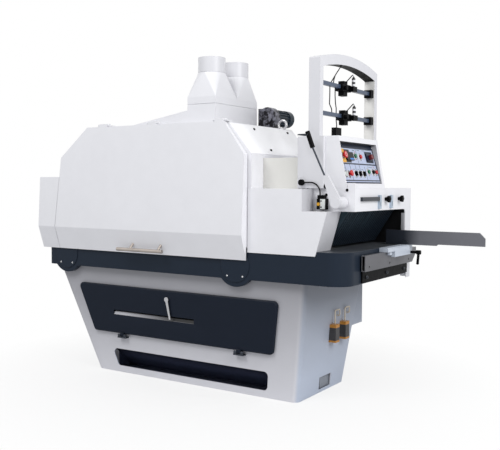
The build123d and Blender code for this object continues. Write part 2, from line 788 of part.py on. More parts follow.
def toe_tray():
    """Sloping sheet with two cheeks that closes the toe opening from behind."""
    corners = toe_corners()
    x_span = (corners[3][0] - TRAY_OVERLAP, corners[2][0] + TRAY_OVERLAP)
    near = BASE_NEAR_Y + BASE_SHEET
    back = near + TRAY_DEPTH
    top = TOE_LOW_Z + TOE_HEIGHT + TRAY_RISE
    low_top = top - BASE_SHEET
    sheet = HOUSING_SHEET - WORKING_GAP
    slope = [(near, low_top), (near, top), (near + sheet, top), (back, BASE_SHEET + sheet),
             (back, BASE_SHEET), (back - sheet, BASE_SHEET)]
    tray = end_prism(slope, x_span)
    cheek = [(near, low_top), (back - sheet, BASE_SHEET), (near, BASE_SHEET)]
    tray += end_prism(cheek, (x_span[0], x_span[0] + sheet))
    return tray + end_prism(cheek, (x_span[1] - sheet, x_span[1]))


def door_pocket():
    """Hollow behind the pressed door, clear of the grip slot and the latch."""
    y_span = (DOOR_FACE_Y + HOOD_SHEET, BASE_NEAR_Y)
    pocket = rounded_panel(drawn_in(door_corners(), DOOR_RIM), DOOR_CORNER - HOOD_SHEET, y_span)
    return pocket - rod_y(LATCH_X, LATCH_Z, 3 * LATCH_SHAFT, (DOOR_FACE_Y, BASE_NEAR_Y))


def base_door():
    """Pressed door with a long grip slot and two hinge knuckles along its lower edge."""
    panel = rounded_panel(door_corners(), DOOR_CORNER, (DOOR_FACE_Y, DOOR_BACK_Y))
    front = panel.faces().sort_by(Axis.Y)[0]
    panel = chamfer(front.edges(), DOOR_BEVEL) - door_pocket()
    outer = DOOR_FACE_Y - OVERCUT
    inner = DOOR_FACE_Y + SLOT_DEPTH
    slot = [(outer, SLOT_HIGH_Z), (inner, SLOT_HIGH_Z), (inner, ramp_z(inner)), (outer, ramp_z(outer))]
    panel -= end_prism(slot, SLOT_SPAN)
    panel -= rod_y(LATCH_X, LATCH_Z, LATCH_SHAFT + RUNNING, (outer, BASE_NEAR_Y))
    for x in door_hinge_xs():
        span = around(x, KNUCKLE_LENGTH / 2)
        panel += block(span, around(DOOR_HINGE_Y, DOOR_KNUCKLE), (DOOR_HINGE_Z, DOOR_LOW_Z + LEAF))
        panel += rod_x(DOOR_HINGE_Y, DOOR_HINGE_Z, DOOR_KNUCKLE, span)
        panel -= rod_x(DOOR_HINGE_Y, DOOR_HINGE_Z, DOOR_PIN + RUNNING, grown(span, OVERCUT))
    return panel


def ramp_z(y):
    """Height of the grip's slanted floor at a depth in the door."""
    climb = (SLOT_HEIGHT - SLOT_THROAT) / SLOT_DEPTH
    return SLOT_LOW_Z + (y - DOOR_FACE_Y) * climb


def door_grip():
    """Slanted lip welded behind the lower edge of the door's slot."""
    back = DOOR_FACE_Y + HOOD_SHEET
    inner = DOOR_FACE_Y + SLOT_DEPTH
    lip = [(back, ramp_z(back)), (inner, ramp_z(inner)), (inner, ramp_z(inner) - HOOD_SHEET),
           (back, ramp_z(back) - 3 * HOOD_SHEET)]
    return end_prism(lip, SLOT_SPAN)


def door_hinge(x):
    """Welded bracket with a pin that the base door turns on."""
    ear_radius = DOOR_KNUCKLE - FREE
    foot_z = DOOR_HINGE_Z - DOOR_KNUCKLE - PANEL_GAP
    reach = EAR_SPREAD + EAR_LENGTH / 2 + WORKING_GAP
    bracket = block(around(x, reach), (DOOR_HINGE_Y - ear_radius, BASE_NEAR_Y), (foot_z - LEAF, foot_z))
    for side in (-1, 1):
        ear = around(x + side * EAR_SPREAD, EAR_LENGTH / 2)
        bracket += rod_x(DOOR_HINGE_Y, DOOR_HINGE_Z, ear_radius, ear)
        bracket += block(ear, around(DOOR_HINGE_Y, ear_radius), (foot_z - OVERCUT, DOOR_HINGE_Z))
    return bracket + rod_x(DOOR_HINGE_Y, DOOR_HINGE_Z, DOOR_PIN, around(x, EAR_SPREAD))


def base_latch():
    """Quarter-turn latch: a bent lever in front of the door and a tongue behind it."""
    outer = DOOR_FACE_Y - LATCH_OUT
    tongue_y = BASE_NEAR_Y + BASE_SHEET + WORKING_GAP
    latch = rod_y(LATCH_X, LATCH_Z, LATCH_SHAFT, (outer + LATCH_SHAFT, tongue_y + BASE_SHEET))
    latch += rod_y(LATCH_X, LATCH_Z, LATCH_BOSS, (outer, DOOR_FACE_Y - FREE))
    grip = [(LATCH_X - LATCH_BAR, LATCH_Z), (LATCH_X + LATCH_BAR, LATCH_Z + LATCH_BAR / 2),
            (LATCH_X + LATCH_BEND, LATCH_Z - LATCH_LENGTH + WORKING_GAP),
            (LATCH_X + LATCH_BEND - 1.3 * LATCH_BAR, LATCH_Z - LATCH_LENGTH)]
    latch += side_prism(grip, (outer, outer + LATCH_BAR))
    tongue = block((LATCH_X, LATCH_X + TONGUE_LENGTH), (tongue_y, tongue_y + PLATE), around(LATCH_Z, LEAF))
    return latch + tongue


def electric_box():
    """Plain box on the far side of the base, shaped to its leaning wall."""
    x_span = (HALF_LENGTH - ELECTRIC_BOX_MARGIN - ELECTRIC_BOX_LENGTH, HALF_LENGTH - ELECTRIC_BOX_MARGIN)
    near_y = HALF_WIDTH - HOUSING_TAIL
    y_span = (near_y, BED_FAR_Y + ELECTRIC_BOX_REACH)
    high = BASE_HEIGHT - ELECTRIC_BOX_DROP
    z_span = (high - ELECTRIC_BOX_HEIGHT, high)
    box = block(x_span, y_span, z_span)
    box -= block(grown(x_span, -BASE_SHEET), (near_y, y_span[1] - BASE_SHEET), grown(z_span, -BASE_SHEET))
    return box - cabinet_hull(0, (0, BASE_HEIGHT))


def bed_body():
    """Outside of the bed with its big rounded nose at the infeed end."""
    bed = block((BED_OUTFEED_X, BED_INFEED_X), (BED_NEAR_Y, BED_FAR_Y), (BASE_HEIGHT, TABLE_Z))
    bed = fillet(nose_edges(bed), BED_NOSE_RADIUS)
    others = [edge for edge in upright_edges(bed, BED_HEIGHT / 2)
              if min(abs((edge @ 0).X - BED_OUTFEED_X), abs((edge @ 0).Y - BED_FAR_Y)) < OVERCUT]
    return fillet(others, BED_CORNER)


def nose_edges(body):
    """Upright edge of a box at its near corner on the infeed side."""
    return [edge for edge in upright_edges(body, BED_HEIGHT / 2) if (edge @ 0).X > 0 and (edge @ 0).Y < 0]


def table_bed():
    bed = bed_body()
    inside_x = (BED_OUTFEED_X + BED_WALL, BED_INFEED_X - BED_WALL)
    inside_y = (BED_NEAR_Y + BED_WALL, BED_FAR_Y - BED_WALL)
    cavity = block(inside_x, inside_y, (BASE_HEIGHT + BED_FOOT_PLATE, TABLE_Z - BED_TOP_PLATE))
    bed -= fillet(nose_edges(cavity), BED_NOSE_RADIUS - BED_WALL)
    foot_x = (BED_OUTFEED_X + BED_RIMS[0], BED_INFEED_X - BED_RIMS[1])
    foot_y = (BED_NEAR_Y + BED_RIMS[2], BED_FAR_Y - BED_RIMS[3])
    bed -= block(foot_x, foot_y, grown((BASE_HEIGHT, BASE_HEIGHT + BED_FOOT_PLATE), OVERCUT))
    room = block((BED_OUTFEED_X, BED_INFEED_X), (BED_NEAR_Y, BED_FAR_Y), (BASE_HEIGHT - BED_HEIGHT, TABLE_Z))
    for x in SHAFT_XS:
        bed += rod_y(x, SHAFT_Z, LOBE_RADIUS, (BED_NEAR_Y, BED_NEAR_Y + LOBE_DEPTH)) & room
        bed += rod_y(x, SHAFT_Z, LOBE_RADIUS, (BED_FAR_Y - LOBE_DEPTH, BED_FAR_Y)) & room
        bed -= rod_y(x, SHAFT_Z, SHAFT_RADIUS + RUNNING, grown((BED_NEAR_Y, BED_FAR_Y), OVERCUT))
    slot_x = grown((IDLER_SHAFT_X, DRIVE_SHAFT_X), CHAIN_RADIUS + CHAIN_ROOM)
    slot_y = grown((CHAIN_NEAR_Y, CHAIN_FAR_Y), CHAIN_ROOM)
    bed -= block(slot_x, slot_y, grown((TABLE_Z - BED_TOP_PLATE, TABLE_Z), OVERCUT))
    return bed + chain_rail()


def bearing_covers():
    covers = []
    for x in SHAFT_XS:
        cover = rod_y(x, SHAFT_Z - HOOD_SHEET, COVER_RADIUS, (BED_NEAR_Y - COVER_DEPTH, BED_NEAR_Y))
        front = cover.faces().sort_by(Axis.Y)[0]
        covers.append(chamfer(front.edges(), WORKING_GAP))
    return covers


def chain_shaft(x):
    """Shaft with two sprockets for the feed chain."""
    shaft = rod_y(x, SHAFT_Z, SHAFT_RADIUS, (BED_NEAR_Y + PANEL_GAP, BED_FAR_Y - WORKING_GAP))
    for y in (CHAIN_NEAR_Y + SPROCKET_INSET, CHAIN_FAR_Y - SPROCKET_INSET):
        shaft += rod_y(x, SHAFT_Z, SPROCKET_RADIUS, around(y, SPROCKET_WIDTH / 2))
    return shaft


def feed_chain():
    """Chain band round both shafts, with pads on its two straight runs."""
    y_span = (CHAIN_NEAR_Y, CHAIN_FAR_Y)
    inner = CHAIN_RADIUS - CHAIN_PAD - CHAIN_BAND
    middle = inner + CHAIN_BAND

    def loop(radius, span):
        run = block((IDLER_SHAFT_X, DRIVE_SHAFT_X), span, around(SHAFT_Z, radius))
        for x in SHAFT_XS:
            run += rod_y(x, SHAFT_Z, radius, span)
        return run

    chain = loop(middle, y_span) - loop(inner, grown(y_span, OVERCUT))
    pad_count = int(SHAFT_SPAN // CHAIN_PITCH)
    half = (CHAIN_PITCH - PAD_GAP) / 2
    for index in range(pad_count):
        x = IDLER_SHAFT_X + (index + 0.5) * SHAFT_SPAN / pad_count
        for low, high in ((middle - OVERCUT, CHAIN_RADIUS), (-CHAIN_RADIUS, -middle + OVERCUT)):
            chain += block(around(x, half), y_span, (SHAFT_Z + low, SHAFT_Z + high))
    return chain


def chain_rail():
    """Rail under the upper run of the chain, carried by two cross ribs of the bed."""
    top = SHAFT_Z + CHAIN_RADIUS - CHAIN_PAD - CHAIN_BAND
    under = top - CHAIN_RAIL_HEIGHT
    middle_y = (CHAIN_NEAR_Y + CHAIN_FAR_Y) / 2
    length = grown((IDLER_SHAFT_X, DRIVE_SHAFT_X), -CHAIN_RAIL_INSET)
    rail = block(length, around(middle_y, CHAIN_RAIL_WIDTH / 2), (under, top))
    inside = grown((BED_NEAR_Y, BED_FAR_Y), -BED_WALL)
    for x in (IDLER_SHAFT_X + CHAIN_RIB_INSETS[0], DRIVE_SHAFT_X - CHAIN_RIB_INSETS[1]):
        rail += block(around(x, CHAIN_RIB / 2), inside, (under - CHAIN_RIB_DEPTH, under))
    return rail


def feed_gearmotor():
    half = GEARBOX_SIZE / 2
    y_span = (BED_FAR_Y, BED_FAR_Y + GEARBOX_DEPTH)
    gearbox = block(around(DRIVE_SHAFT_X, half), y_span, around(SHAFT_Z, half))
    motor_x = (DRIVE_SHAFT_X - half - GEARMOTOR_LENGTH, DRIVE_SHAFT_X - half)
    return gearbox + rod_x(BED_FAR_Y + GEARBOX_DEPTH / 2, SHAFT_Z, GEARMOTOR_RADIUS, motor_x)


def front_rail():
    """Hollow rail across the infeed end with a slanted far nose and three mounting holes."""
    outline = [(RAIL_NEAR_Y, RAIL_LOW_Z), (RAIL_FAR_Y - RAIL_NOSE, RAIL_LOW_Z),
               (RAIL_FAR_Y, RAIL_LOW_Z + RAIL_NOSE_HEIGHT), (RAIL_FAR_Y, RAIL_HIGH_Z),
               (RAIL_NEAR_Y, RAIL_HIGH_Z)]
    rail = end_prism(outline, (RAIL_BACK_X, RAIL_FACE_X))
    hollow_x = (RAIL_BACK_X + RAIL_WALL, RAIL_FACE_X - RAIL_WALL)
    hollow_z = (RAIL_LOW_Z + RAIL_WALL, RAIL_HIGH_Z - RAIL_WALL)
    rail -= block(hollow_x, (RAIL_NEAR_Y - OVERCUT, RAIL_FAR_Y - RAIL_END_WALL), hollow_z)
    wall = grown((RAIL_FACE_X - RAIL_WALL, RAIL_FACE_X), OVERCUT)
    for along in RAIL_HOLES:
        rail -= rod_x(RAIL_NEAR_Y + along, RAIL_LOW_Z + RAIL_HOLE_LIFT, RAIL_HOLE, wall)
    return rail


def rail_mount():
    y_span = (RAIL_NEAR_Y + MOUNT_INSET, BED_FAR_Y - BED_CORNER - PLATE)
    return block((BED_INFEED_X, RAIL_BACK_X), y_span, (BASE_HEIGHT + MOUNT_LIFT, RAIL_HIGH_Z - MOUNT_DROP))


def carriage_boss():
    """Round boss on the far end of the carriage."""
    y_span = (CARRIAGE_FAR_Y - BOSS_NEAR, CARRIAGE_FAR_Y + BOSS_FAR)
    return rod_y(RAIL_FACE_X - GUARD_SHEET, CARRIAGE_TOP_Z + BOSS_LIFT, BOSS_RADIUS, y_span)


def fence_carriage():
    """Carriage that rides on the rail, with an apron, a stop pad and a boss."""
    low = RAIL_HIGH_Z + SLIDING
    body_x = (BED_INFEED_X + WORKING_GAP, CARRIAGE_FACE_X)
    body = block(body_x, (CARRIAGE_NEAR_Y, CARRIAGE_FAR_Y), (low, CARRIAGE_TOP_Z))
    top = body.faces().sort_by(Axis.Z)[-1]
    body = chamfer(top.edges().sort_by(Axis.X)[-1:], CARRIAGE_BEVEL)
    face = (RAIL_FACE_X + SLIDING, CARRIAGE_FACE_X)
    overlap = low + OVERCUT
    body += block(face, (CARRIAGE_NEAR_Y + APRON_INSET, CARRIAGE_FAR_Y), (RAIL_HIGH_Z - APRON_DROP, overlap))
    pad_y = CARRIAGE_NEAR_Y + STOP_PAD_INSET
    pad_x = (face[0], face[1] - CARRIAGE_BEVEL)
    body += block(pad_x, (pad_y, pad_y + STOP_PAD), (RAIL_HIGH_Z - STOP_PAD_DROP, overlap))
    body += carriage_boss()
    return body - rod_x(CLAMP_Y, CLAMP_Z, CLAMP_RADIUS + RUNNING, (RAIL_FACE_X, CARRIAGE_FACE_X + OVERCUT))


def clamp_lever():
    """Screw, hub and hanging arm with a ball end."""
    hub_x = CARRIAGE_FACE_X + CLAMP_REACH
    middle_x = hub_x + CLAMP_HUB_LENGTH / 2
    lever = rod_x(CLAMP_Y, CLAMP_Z, CLAMP_RADIUS, (RAIL_FACE_X + OVERCUT, middle_x))
    lever += rod_x(CLAMP_Y, CLAMP_Z, CLAMP_HUB, (hub_x, hub_x + CLAMP_HUB_LENGTH))
    foot = (middle_x - CLAMP_LEAN, CLAMP_Y, CLAMP_Z - CLAMP_ARM)
    lever += rod_between((middle_x, CLAMP_Y, CLAMP_Z), foot, CLAMP_RADIUS)
    return lever + Pos(*foot) * Sphere(CLAMP_BALL)


def fence_plate():
    low = CARRIAGE_TOP_Z
    step_x = FENCE_INNER_X + FENCE_STEP_X
    outline = [(FENCE_INNER_X, low), (step_x, low), (step_x + FENCE_STEP, low + FENCE_STEP),
               (FENCE_OUTER_X, low + FENCE_STEP), (FENCE_OUTER_X, FENCE_TOP_Z - FENCE_CORNER),
               (FENCE_OUTER_X - FENCE_CORNER, FENCE_TOP_Z), (FENCE_INNER_X, FENCE_TOP_Z)]
    return side_prism(outline, (FENCE_Y - FENCE_THICKNESS, FENCE_Y)) - carriage_boss()


def house_outline(inset, low_z):
    """Side outline of the saw housing: upright ends, two sloping shoulders and a flat roof."""
    slope_in = inset * math.tan(math.radians(25))
    return [(HOUSING_OUTFEED_X + inset, low_z), (HOUSING_INFEED_X - inset, low_z),
            (HOUSING_INFEED_X - inset, SHOULDER_Z - slope_in), (ROOF_INFEED_X - slope_in, ROOF_Z - inset),
            (ROOF_OUTFEED_X + slope_in, ROOF_Z - inset), (HOUSING_OUTFEED_X + inset, SHOULDER_Z - slope_in)]


def upper_housing():
    """Saw housing: open below and towards the operator, where a flange frames the mouth."""
    shell = side_prism(house_outline(0, TABLE_Z), (HOUSING_NEAR_Y, HOUSING_FAR_Y))
    inside = grown((HOUSING_NEAR_Y, HOUSING_FAR_Y), -HOUSING_SHEET)
    shell -= side_prism(house_outline(HOUSING_SHEET, TABLE_Z - OVERCUT), inside)
    mouth = grown((HOUSING_NEAR_Y, HOUSING_NEAR_Y + HOUSING_SHEET), OVERCUT)
    shell -= side_prism(house_outline(HOUSING_RETURN, TABLE_Z - OVERCUT), mouth)
    passage_x = grown((HOUSING_OUTFEED_X, HOUSING_INFEED_X), OVERCUT)
    shell -= block(passage_x, PASS_SPAN, (TABLE_Z - OVERCUT, PASS_Z))
    shell -= rod_y(ARBOR_X, ARBOR_Z, ARBOR_RADIUS + BARREL, around(HOUSING_FAR_Y, 2 * HOUSING_SHEET))
    for y in COLLAR_YS:
        hole_x = (PLENUM_LOW_X + DUCT_RIM, PLENUM_HIGH_X - DUCT_RIM)
        shell -= block(hole_x, around(y, DUCT_HALF), around(ROOF_Z, 2 * HOUSING_SHEET))
    for x in HINGE_XS:
        shell += hood_hinge(x)
    for name, middle in PRESSES:
        for y in GUIDE_YS:
            shell += press_guide(middle, y)
    return shell + arbor_bearing()


def arbor_bearing():
    """Bearing barrel through the far wall of the saw housing, on a foot that stands on the bed."""
    near = HOUSING_FAR_Y - HOUSING_SHEET - LIFT_FAN_LENGTH
    far = BED_FAR_Y - BED_WALL
    barrel = rod_y(ARBOR_X, ARBOR_Z, ARBOR_RADIUS + BARREL, (near, far))
    flange_y = (HOUSING_FAR_Y, HOUSING_FAR_Y + BED_WALL)
    barrel += rod_y(ARBOR_X, ARBOR_Z, ARBOR_RADIUS + BARREL_FLANGE, flange_y)
    foot_y = (HOUSING_FAR_Y + 1.5 * BED_WALL, far)
    barrel += block(around(ARBOR_X, BARREL_FLANGE), foot_y, (TABLE_Z, ARBOR_Z - ARBOR_RADIUS))
    return barrel - rod_y(ARBOR_X, ARBOR_Z, ARBOR_RADIUS + RUNNING, (near - OVERCUT, BED_FAR_Y))


def shoulder_panel():
    """Cover sheet on the sloping infeed shoulder."""
    run = HOUSING_INFEED_X - ROOF_INFEED_X
    rise = ROOF_Z - SHOULDER_Z
    slope = math.hypot(run, rise)
    out_x = SHOULDER_SHEET * rise / slope
    out_z = SHOULDER_SHEET * run / slope
    margin = 0.03
    high = (ROOF_INFEED_X + margin * run, ROOF_Z - margin * rise)
    low = (HOUSING_INFEED_X - margin * run, SHOULDER_Z + margin * rise)
    outline = [low, (low[0] + out_x, low[1] + out_z), (high[0] + out_x, high[1] + out_z), high]
    return side_prism(outline, (HOUSING_NEAR_Y, HOUSING_FAR_Y - SHOULDER_SHEET))


def hood_profile(inset, back_y):
    """End view of the hood: it leans out up to the crease, then back towards the roof."""
    return [(HOOD_LOW_Y + inset, HOOD_LOW_Z), (HOOD_CREASE_Y + inset, HOOD_CREASE_Z),
            (HOOD_TOP_Y + inset, HOOD_TOP_Z), (back_y, HOOD_TOP_Z), (back_y, HOOD_LOW_Z)]


def hood_edge(z):
    """Outfeed edge of the hood, which leans in above the crease."""
    return HOOD_OUTFEED_X + HOOD_LEAN * (z - HOOD_CREASE_Z) / (SHOULDER_Z - HOOD_CREASE_Z)


def hood_outline(inset):
    """Side view of the hood, drawn in by an inset except along its open foot."""
    low = HOOD_LOW_Z - OVERCUT
    return [(HOOD_OUTFEED_X + inset, low), (HOOD_INFEED_X - inset, low),
            (HOOD_INFEED_X - inset, SHOULDER_Z + WORKING_GAP - inset / 2),
            (ROOF_INFEED_X - END_HOUSING_OUT, HOOD_TOP_Z - inset), (ROOF_OUTFEED_X, HOOD_TOP_Z - inset),
            (hood_edge(SHOULDER_Z) + inset, SHOULDER_Z - inset / 2), (HOOD_OUTFEED_X + inset, HOOD_CREASE_Z)]


def hood():
    """Folded sheet hood with end cheeks and three hinge lugs along its top."""
    x_span = grown((HOOD_OUTFEED_X, HOOD_INFEED_X), OVERCUT)
    reach = (HOOD_CREASE_Y - OVERCUT, HOOD_BACK_Y + WORKING_GAP)
    body = end_prism(hood_profile(0, HOOD_BACK_Y), x_span) & side_prism(hood_outline(0), reach)
    inner = end_prism(hood_profile(HOOD_SHEET, HOOD_BACK_Y + OVERCUT), x_span)
    body -= inner & side_prism(hood_outline(HOOD_SHEET), reach)
    relief_y = (HOOD_LOW_Y + HOOD_RELIEF_WALL, 0)
    body -= block(x_span, relief_y, (HOOD_LOW_Z - OVERCUT, HOOD_LOW_Z + HOOD_RELIEF))
    half = HOOD_LUG_LENGTH / 2
    lug_y = (HOOD_TOP_Y + WORKING_GAP, HINGE_Y)
    lug_z = (HOOD_TOP_Z - OVERCUT, HINGE_Z + HINGE_PLATE)
    for x in HINGE_XS:
        body += rod_x(HINGE_Y, HINGE_Z, HOOD_LUG, around(x, half))
        body += block(around(x, half), lug_y, lug_z)
        body -= rod_x(HINGE_Y, HINGE_Z, HOOD_PIN + RUNNING, around(x, half + OVERCUT))
    return body


def hood_hinge(x):
    """Hinge half welded on the roof edge, with its pin."""
    half = HOOD_EAR_SPREAD + HOOD_EAR
    leaf = rod_x(HINGE_Y, HINGE_Z, HOOD_PIN, around(x, half - OVERCUT))
    for side in (-1, 1):
        ear = around(x + side * HOOD_EAR_SPREAD, HOOD_EAR)
        leaf += rod_x(HINGE_Y, HINGE_Z, HOOD_EAR, ear)
        leaf += block(ear, (HINGE_Y, HOUSING_NEAR_Y + 5 * HOOD_EAR), (HINGE_Z - HOOD_EAR, HINGE_Z))
    plate_y = (HOUSING_NEAR_Y + 2 * HINGE_PLATE, HOUSING_NEAR_Y + 8 * HINGE_PLATE)
    return leaf + block(around(x, half), plate_y, (ROOF_Z - OVERCUT, ROOF_Z + HINGE_PLATE))


def hood_handle():
    """Pull bar on two posts under the crease of the hood."""
    bar_y = HOOD_LOW_Y - HANDLE_REACH
    span = (HANDLE_X, HANDLE_X + HANDLE_LENGTH)
    handle = rod_x(bar_y, HANDLE_Z, HANDLE_RADIUS, span)
    lean = (HOOD_CREASE_Y - HOOD_LOW_Y) / (HOOD_CREASE_Z - HOOD_LOW_Z)
    foot_y = HOOD_LOW_Y + lean * HANDLE_FOOT_LIFT + HANDLE_POST_RADIUS
    foot_z = HOOD_LOW_Z + HANDLE_FOOT_LIFT + PANEL_GAP
    for along in HANDLE_POSTS:
        x = HANDLE_X + along
        handle += rod_between((x, bar_y, HANDLE_Z), (x, foot_y, foot_z), HANDLE_POST_RADIUS)
    return handle - end_prism(hood_profile(0, 0), grown(span, OVERCUT))


def end_profile(inset, low_z):
    """End view of the outfeed end housing, which carries on the line of the hood."""
    high = END_HOUSING_Z - inset
    return [(HOOD_LOW_Y + inset, low_z), (HOOD_CREASE_Y + inset, HOOD_CREASE_Z),
            (HOOD_TOP_Y - END_HOUSING_OUT + inset, high), (HOUSING_FAR_Y - inset, high),
            (HOUSING_FAR_Y - inset, low_z)]


def end_cover():
    """Folded cover of the end housing; its edge follows the leaning edge of the hood."""
    edge_x = HOOD_OUTFEED_X - PANEL_GAP
    side = [(END_HOUSING_X, HOOD_LOW_Z), (edge_x, HOOD_LOW_Z), (edge_x, HOOD_CREASE_Z),
            (hood_edge(END_HOUSING_Z) - PANEL_GAP, END_HOUSING_Z), (END_HOUSING_X, END_HOUSING_Z)]
    cover = end_prism(end_profile(0, HOOD_LOW_Z), (END_HOUSING_X, HOUSING_OUTFEED_X))
    cover &= side_prism(side, (HOOD_CREASE_Y - OVERCUT, HOUSING_FAR_Y + OVERCUT))
    hollow_x = (END_HOUSING_X + HOOD_SHEET, HOUSING_OUTFEED_X + OVERCUT)
    return cover - end_prism(end_profile(HOOD_SHEET, HOOD_LOW_Z - OVERCUT), hollow_x)


def end_housing():
    """Cover over the outfeed end with a sleeve that meets the saw housing and a mouth for the strips."""
    sleeve_x = (HOOD_OUTFEED_X - HOOD_SHEET, HOUSING_OUTFEED_X)
    sleeve_y = (HOUSING_NEAR_Y, HOUSING_FAR_Y)
    sleeve = block(sleeve_x, sleeve_y, (TABLE_Z, END_HOUSING_Z))
    room_z = (TABLE_Z - OVERCUT, END_HOUSING_Z - HOOD_SHEET)
    sleeve -= block(grown(sleeve_x, OVERCUT), grown(sleeve_y, -HOOD_SHEET), room_z)
    shell = end_cover() + sleeve
    bed_room_x = (END_HOUSING_X + HOOD_SHEET, HOUSING_OUTFEED_X)
    bed_room_y = (BED_NEAR_Y - 2 * HOOD_SHEET, HOUSING_FAR_Y + OVERCUT)
    shell -= block(bed_room_x, bed_room_y, (HOOD_LOW_Z - OVERCUT, TABLE_Z))
    wall_x = grown((END_HOUSING_X, END_HOUSING_X + HOOD_SHEET), OVERCUT)
    return shell - rounded_mouth(PASS_SPAN, (HOOD_LOW_Z - OVERCUT, PASS_Z), wall_x)


def rounded_mouth(y_span, z_span, x_span):
    """Opening through an upright sheet with rounded upper corners."""
    mouth = block(x_span, y_span, z_span)
    top = mouth.faces().sort_by(Axis.Z)[-1].edges().filter_by(Axis.X)
    return fillet(top, PASS_CORNER)


def dust_plenum():
    """Ramp and plenum on the roof, open below, with two ducts through its top and a seam round it."""
    def outline(inset, low_z):
        return [(RAMP_START_X + 4 * inset, low_z), (PLENUM_HIGH_X - inset, low_z),
                (PLENUM_HIGH_X - inset, PLENUM_TOP_Z - inset), (PLENUM_LOW_X + inset, PLENUM_TOP_Z - inset),
                (PLENUM_LOW_X + inset, ROOF_Z + RAMP_HEIGHT - inset)]

    y_span = (PLENUM_NEAR_Y, PLENUM_FAR_Y)
    x_span = (PLENUM_LOW_X, PLENUM_HIGH_X)
    shell = side_prism(outline(0, ROOF_Z), y_span)
    shell -= side_prism(outline(PLENUM_SHEET, ROOF_Z - OVERCUT), grown(y_span, -PLENUM_SHEET))
    seam_z = (PLENUM_TOP_Z - PLENUM_SEAM, PLENUM_TOP_Z)
    seam = block(grown(x_span, OVERCUT), grown(y_span, OVERCUT), grown(seam_z, OVERCUT))
    seam -= block(grown(x_span, -WORKING_GAP), grown(y_span, -WORKING_GAP), grown(seam_z, WORKING_GAP))
    shell -= seam
    for y in COLLAR_YS:
        through = around(PLENUM_TOP_Z, 2 * PLENUM_SHEET)
        shell -= block(grown(x_span, -DUCT_RIM), around(y, DUCT_HALF), through)
    return shell


def flat(*points):
    """Flat face through the given corners."""
    return make_face(Polyline(*points, close=True)).face()


def square_to_round(half_x, half_y, radius, base_y, ring_y, z_span):
    """Transition piece: a flat side on each edge of the square, a fan of bends at each of its corners."""
    low, high = z_span
    signs = ((1, 1), (-1, 1), (-1, -1), (1, -1))
    corners = [(OUTLET_X + a * half_x, base_y + b * half_y, low) for a, b in signs]
    ring = []
    for bend in range(4 * OUTLET_BENDS):
        angle = math.pi / 2 * bend / OUTLET_BENDS
        ring.append((OUTLET_X + radius * math.cos(angle), ring_y + radius * math.sin(angle), high))
    faces = [flat(*corners), flat(*ring)]
    for number, corner in enumerate(corners):
        first = number * OUTLET_BENDS
        fan = [ring[(first + bend) % len(ring)] for bend in range(OUTLET_BENDS + 1)]
        faces += [flat(corner, a, b) for a, b in zip(fan, fan[1:])]
        faces.append(flat(corner, fan[-1], corners[(number + 1) % 4]))
    return Solid(Shell(faces))


def dust_outlet(y, lean):
    """Square-to-round duct: a straight band, a bent neck and a round collar slipped over it."""
    low = PLENUM_TOP_Z
    band = low + OUTLET_BAND
    ring_y = y + lean

    def duct(inset, spare):
        half_x = PLENUM_LENGTH / 2 - inset
        half_y = (OUTLET_BREADTH - FREE) / 2 - inset
        radius = OUTLET_RADIUS - OUTLET_STEP - inset
        straight = block(around(OUTLET_X, half_x), around(y, half_y), (low - spare, band))
        return straight + square_to_round(half_x, half_y, radius, y, ring_y, (band, OUTLET_NECK_Z))

    bore = OUTLET_RADIUS - OUTLET_SHEET
    collar_z = (OUTLET_NECK_Z - OUTLET_SLEEVE, OUTLET_TOP_Z)
    outlet = duct(0, 0) + rod_z(OUTLET_X, ring_y, OUTLET_RADIUS, collar_z)
    outlet -= duct(OUTLET_SHEET, OVERCUT)
    throat = (bore - OUTLET_STEP) * math.cos(math.pi / 4 / OUTLET_BENDS)
    outlet -= rod_z(OUTLET_X, ring_y, throat, (OUTLET_NECK_Z - OVERCUT, OUTLET_TOP_Z))
    return outlet - rod_z(OUTLET_X, ring_y, bore, (OUTLET_NECK_Z + OUTLET_SHEET, OUTLET_TOP_Z + OVERCUT))


def lift_gearbox():
    """Round worm gearbox with its output boss, on a boxed foot that stands on the roof."""
    y_span = (LIFT_Y, LIFT_Y + LIFT_GEARBOX)
    box = rod_y(LIFT_X, LIFT_Z, LIFT_RADIUS, y_span)
    box += rod_y(LIFT_X, LIFT_Z, LIFT_BOSS, (LIFT_Y - LIFT_BOSS_LENGTH, LIFT_Y))
    foot = grown(y_span, -HOOD_SHEET)
    box += block(around(LIFT_X, LIFT_FAN_LENGTH), foot, (ROOF_Z, LIFT_Z - LIFT_BOSS / 2))
    housing_x = (LIFT_X - LIFT_RADIUS - BASE_SHEET, LIFT_X)
    return box + block(housing_x, foot, (ROOF_Z, LIFT_Z + LIFT_RADIUS - HOOD_EAR))


def lift_motor():
    """Finned motor with a flange, a fan cover and a terminal box on its outfeed side."""
    start = LIFT_Y + LIFT_GEARBOX
    end = start + LIFT_MOTOR_LENGTH
    fan = end - LIFT_FAN_LENGTH
    motor = rod_y(LIFT_X, LIFT_Z, LIFT_MOTOR_RADIUS, (start, end))
    for index in range(LIFT_FINS):
        tip = (LIFT_MOTOR_RADIUS - WORKING_GAP, LIFT_MOTOR_RADIUS + LIFT_FIN)
        fin = block(around(0, WORKING_GAP), (start + LIFT_FLANGE, fan), tip)
        motor += Pos(LIFT_X, 0, LIFT_Z) * Rot(0, index * 360 / LIFT_FINS, 0) * fin
    motor += rod_y(LIFT_X, LIFT_Z, LIFT_MOTOR_FLANGE, (start, start + LIFT_FLANGE))
    motor += rod_y(LIFT_X, LIFT_Z, LIFT_MOTOR_FLANGE, (fan, end))
    box_x = (LIFT_X - TERMINAL_BOX_OUT, LIFT_X - LIFT_BOSS)
    box_y = (start + TERMINAL_BOX / 2, start + 1.5 * TERMINAL_BOX)
    return motor + block(box_x, box_y, around(LIFT_Z, TERMINAL_BOX / 2))


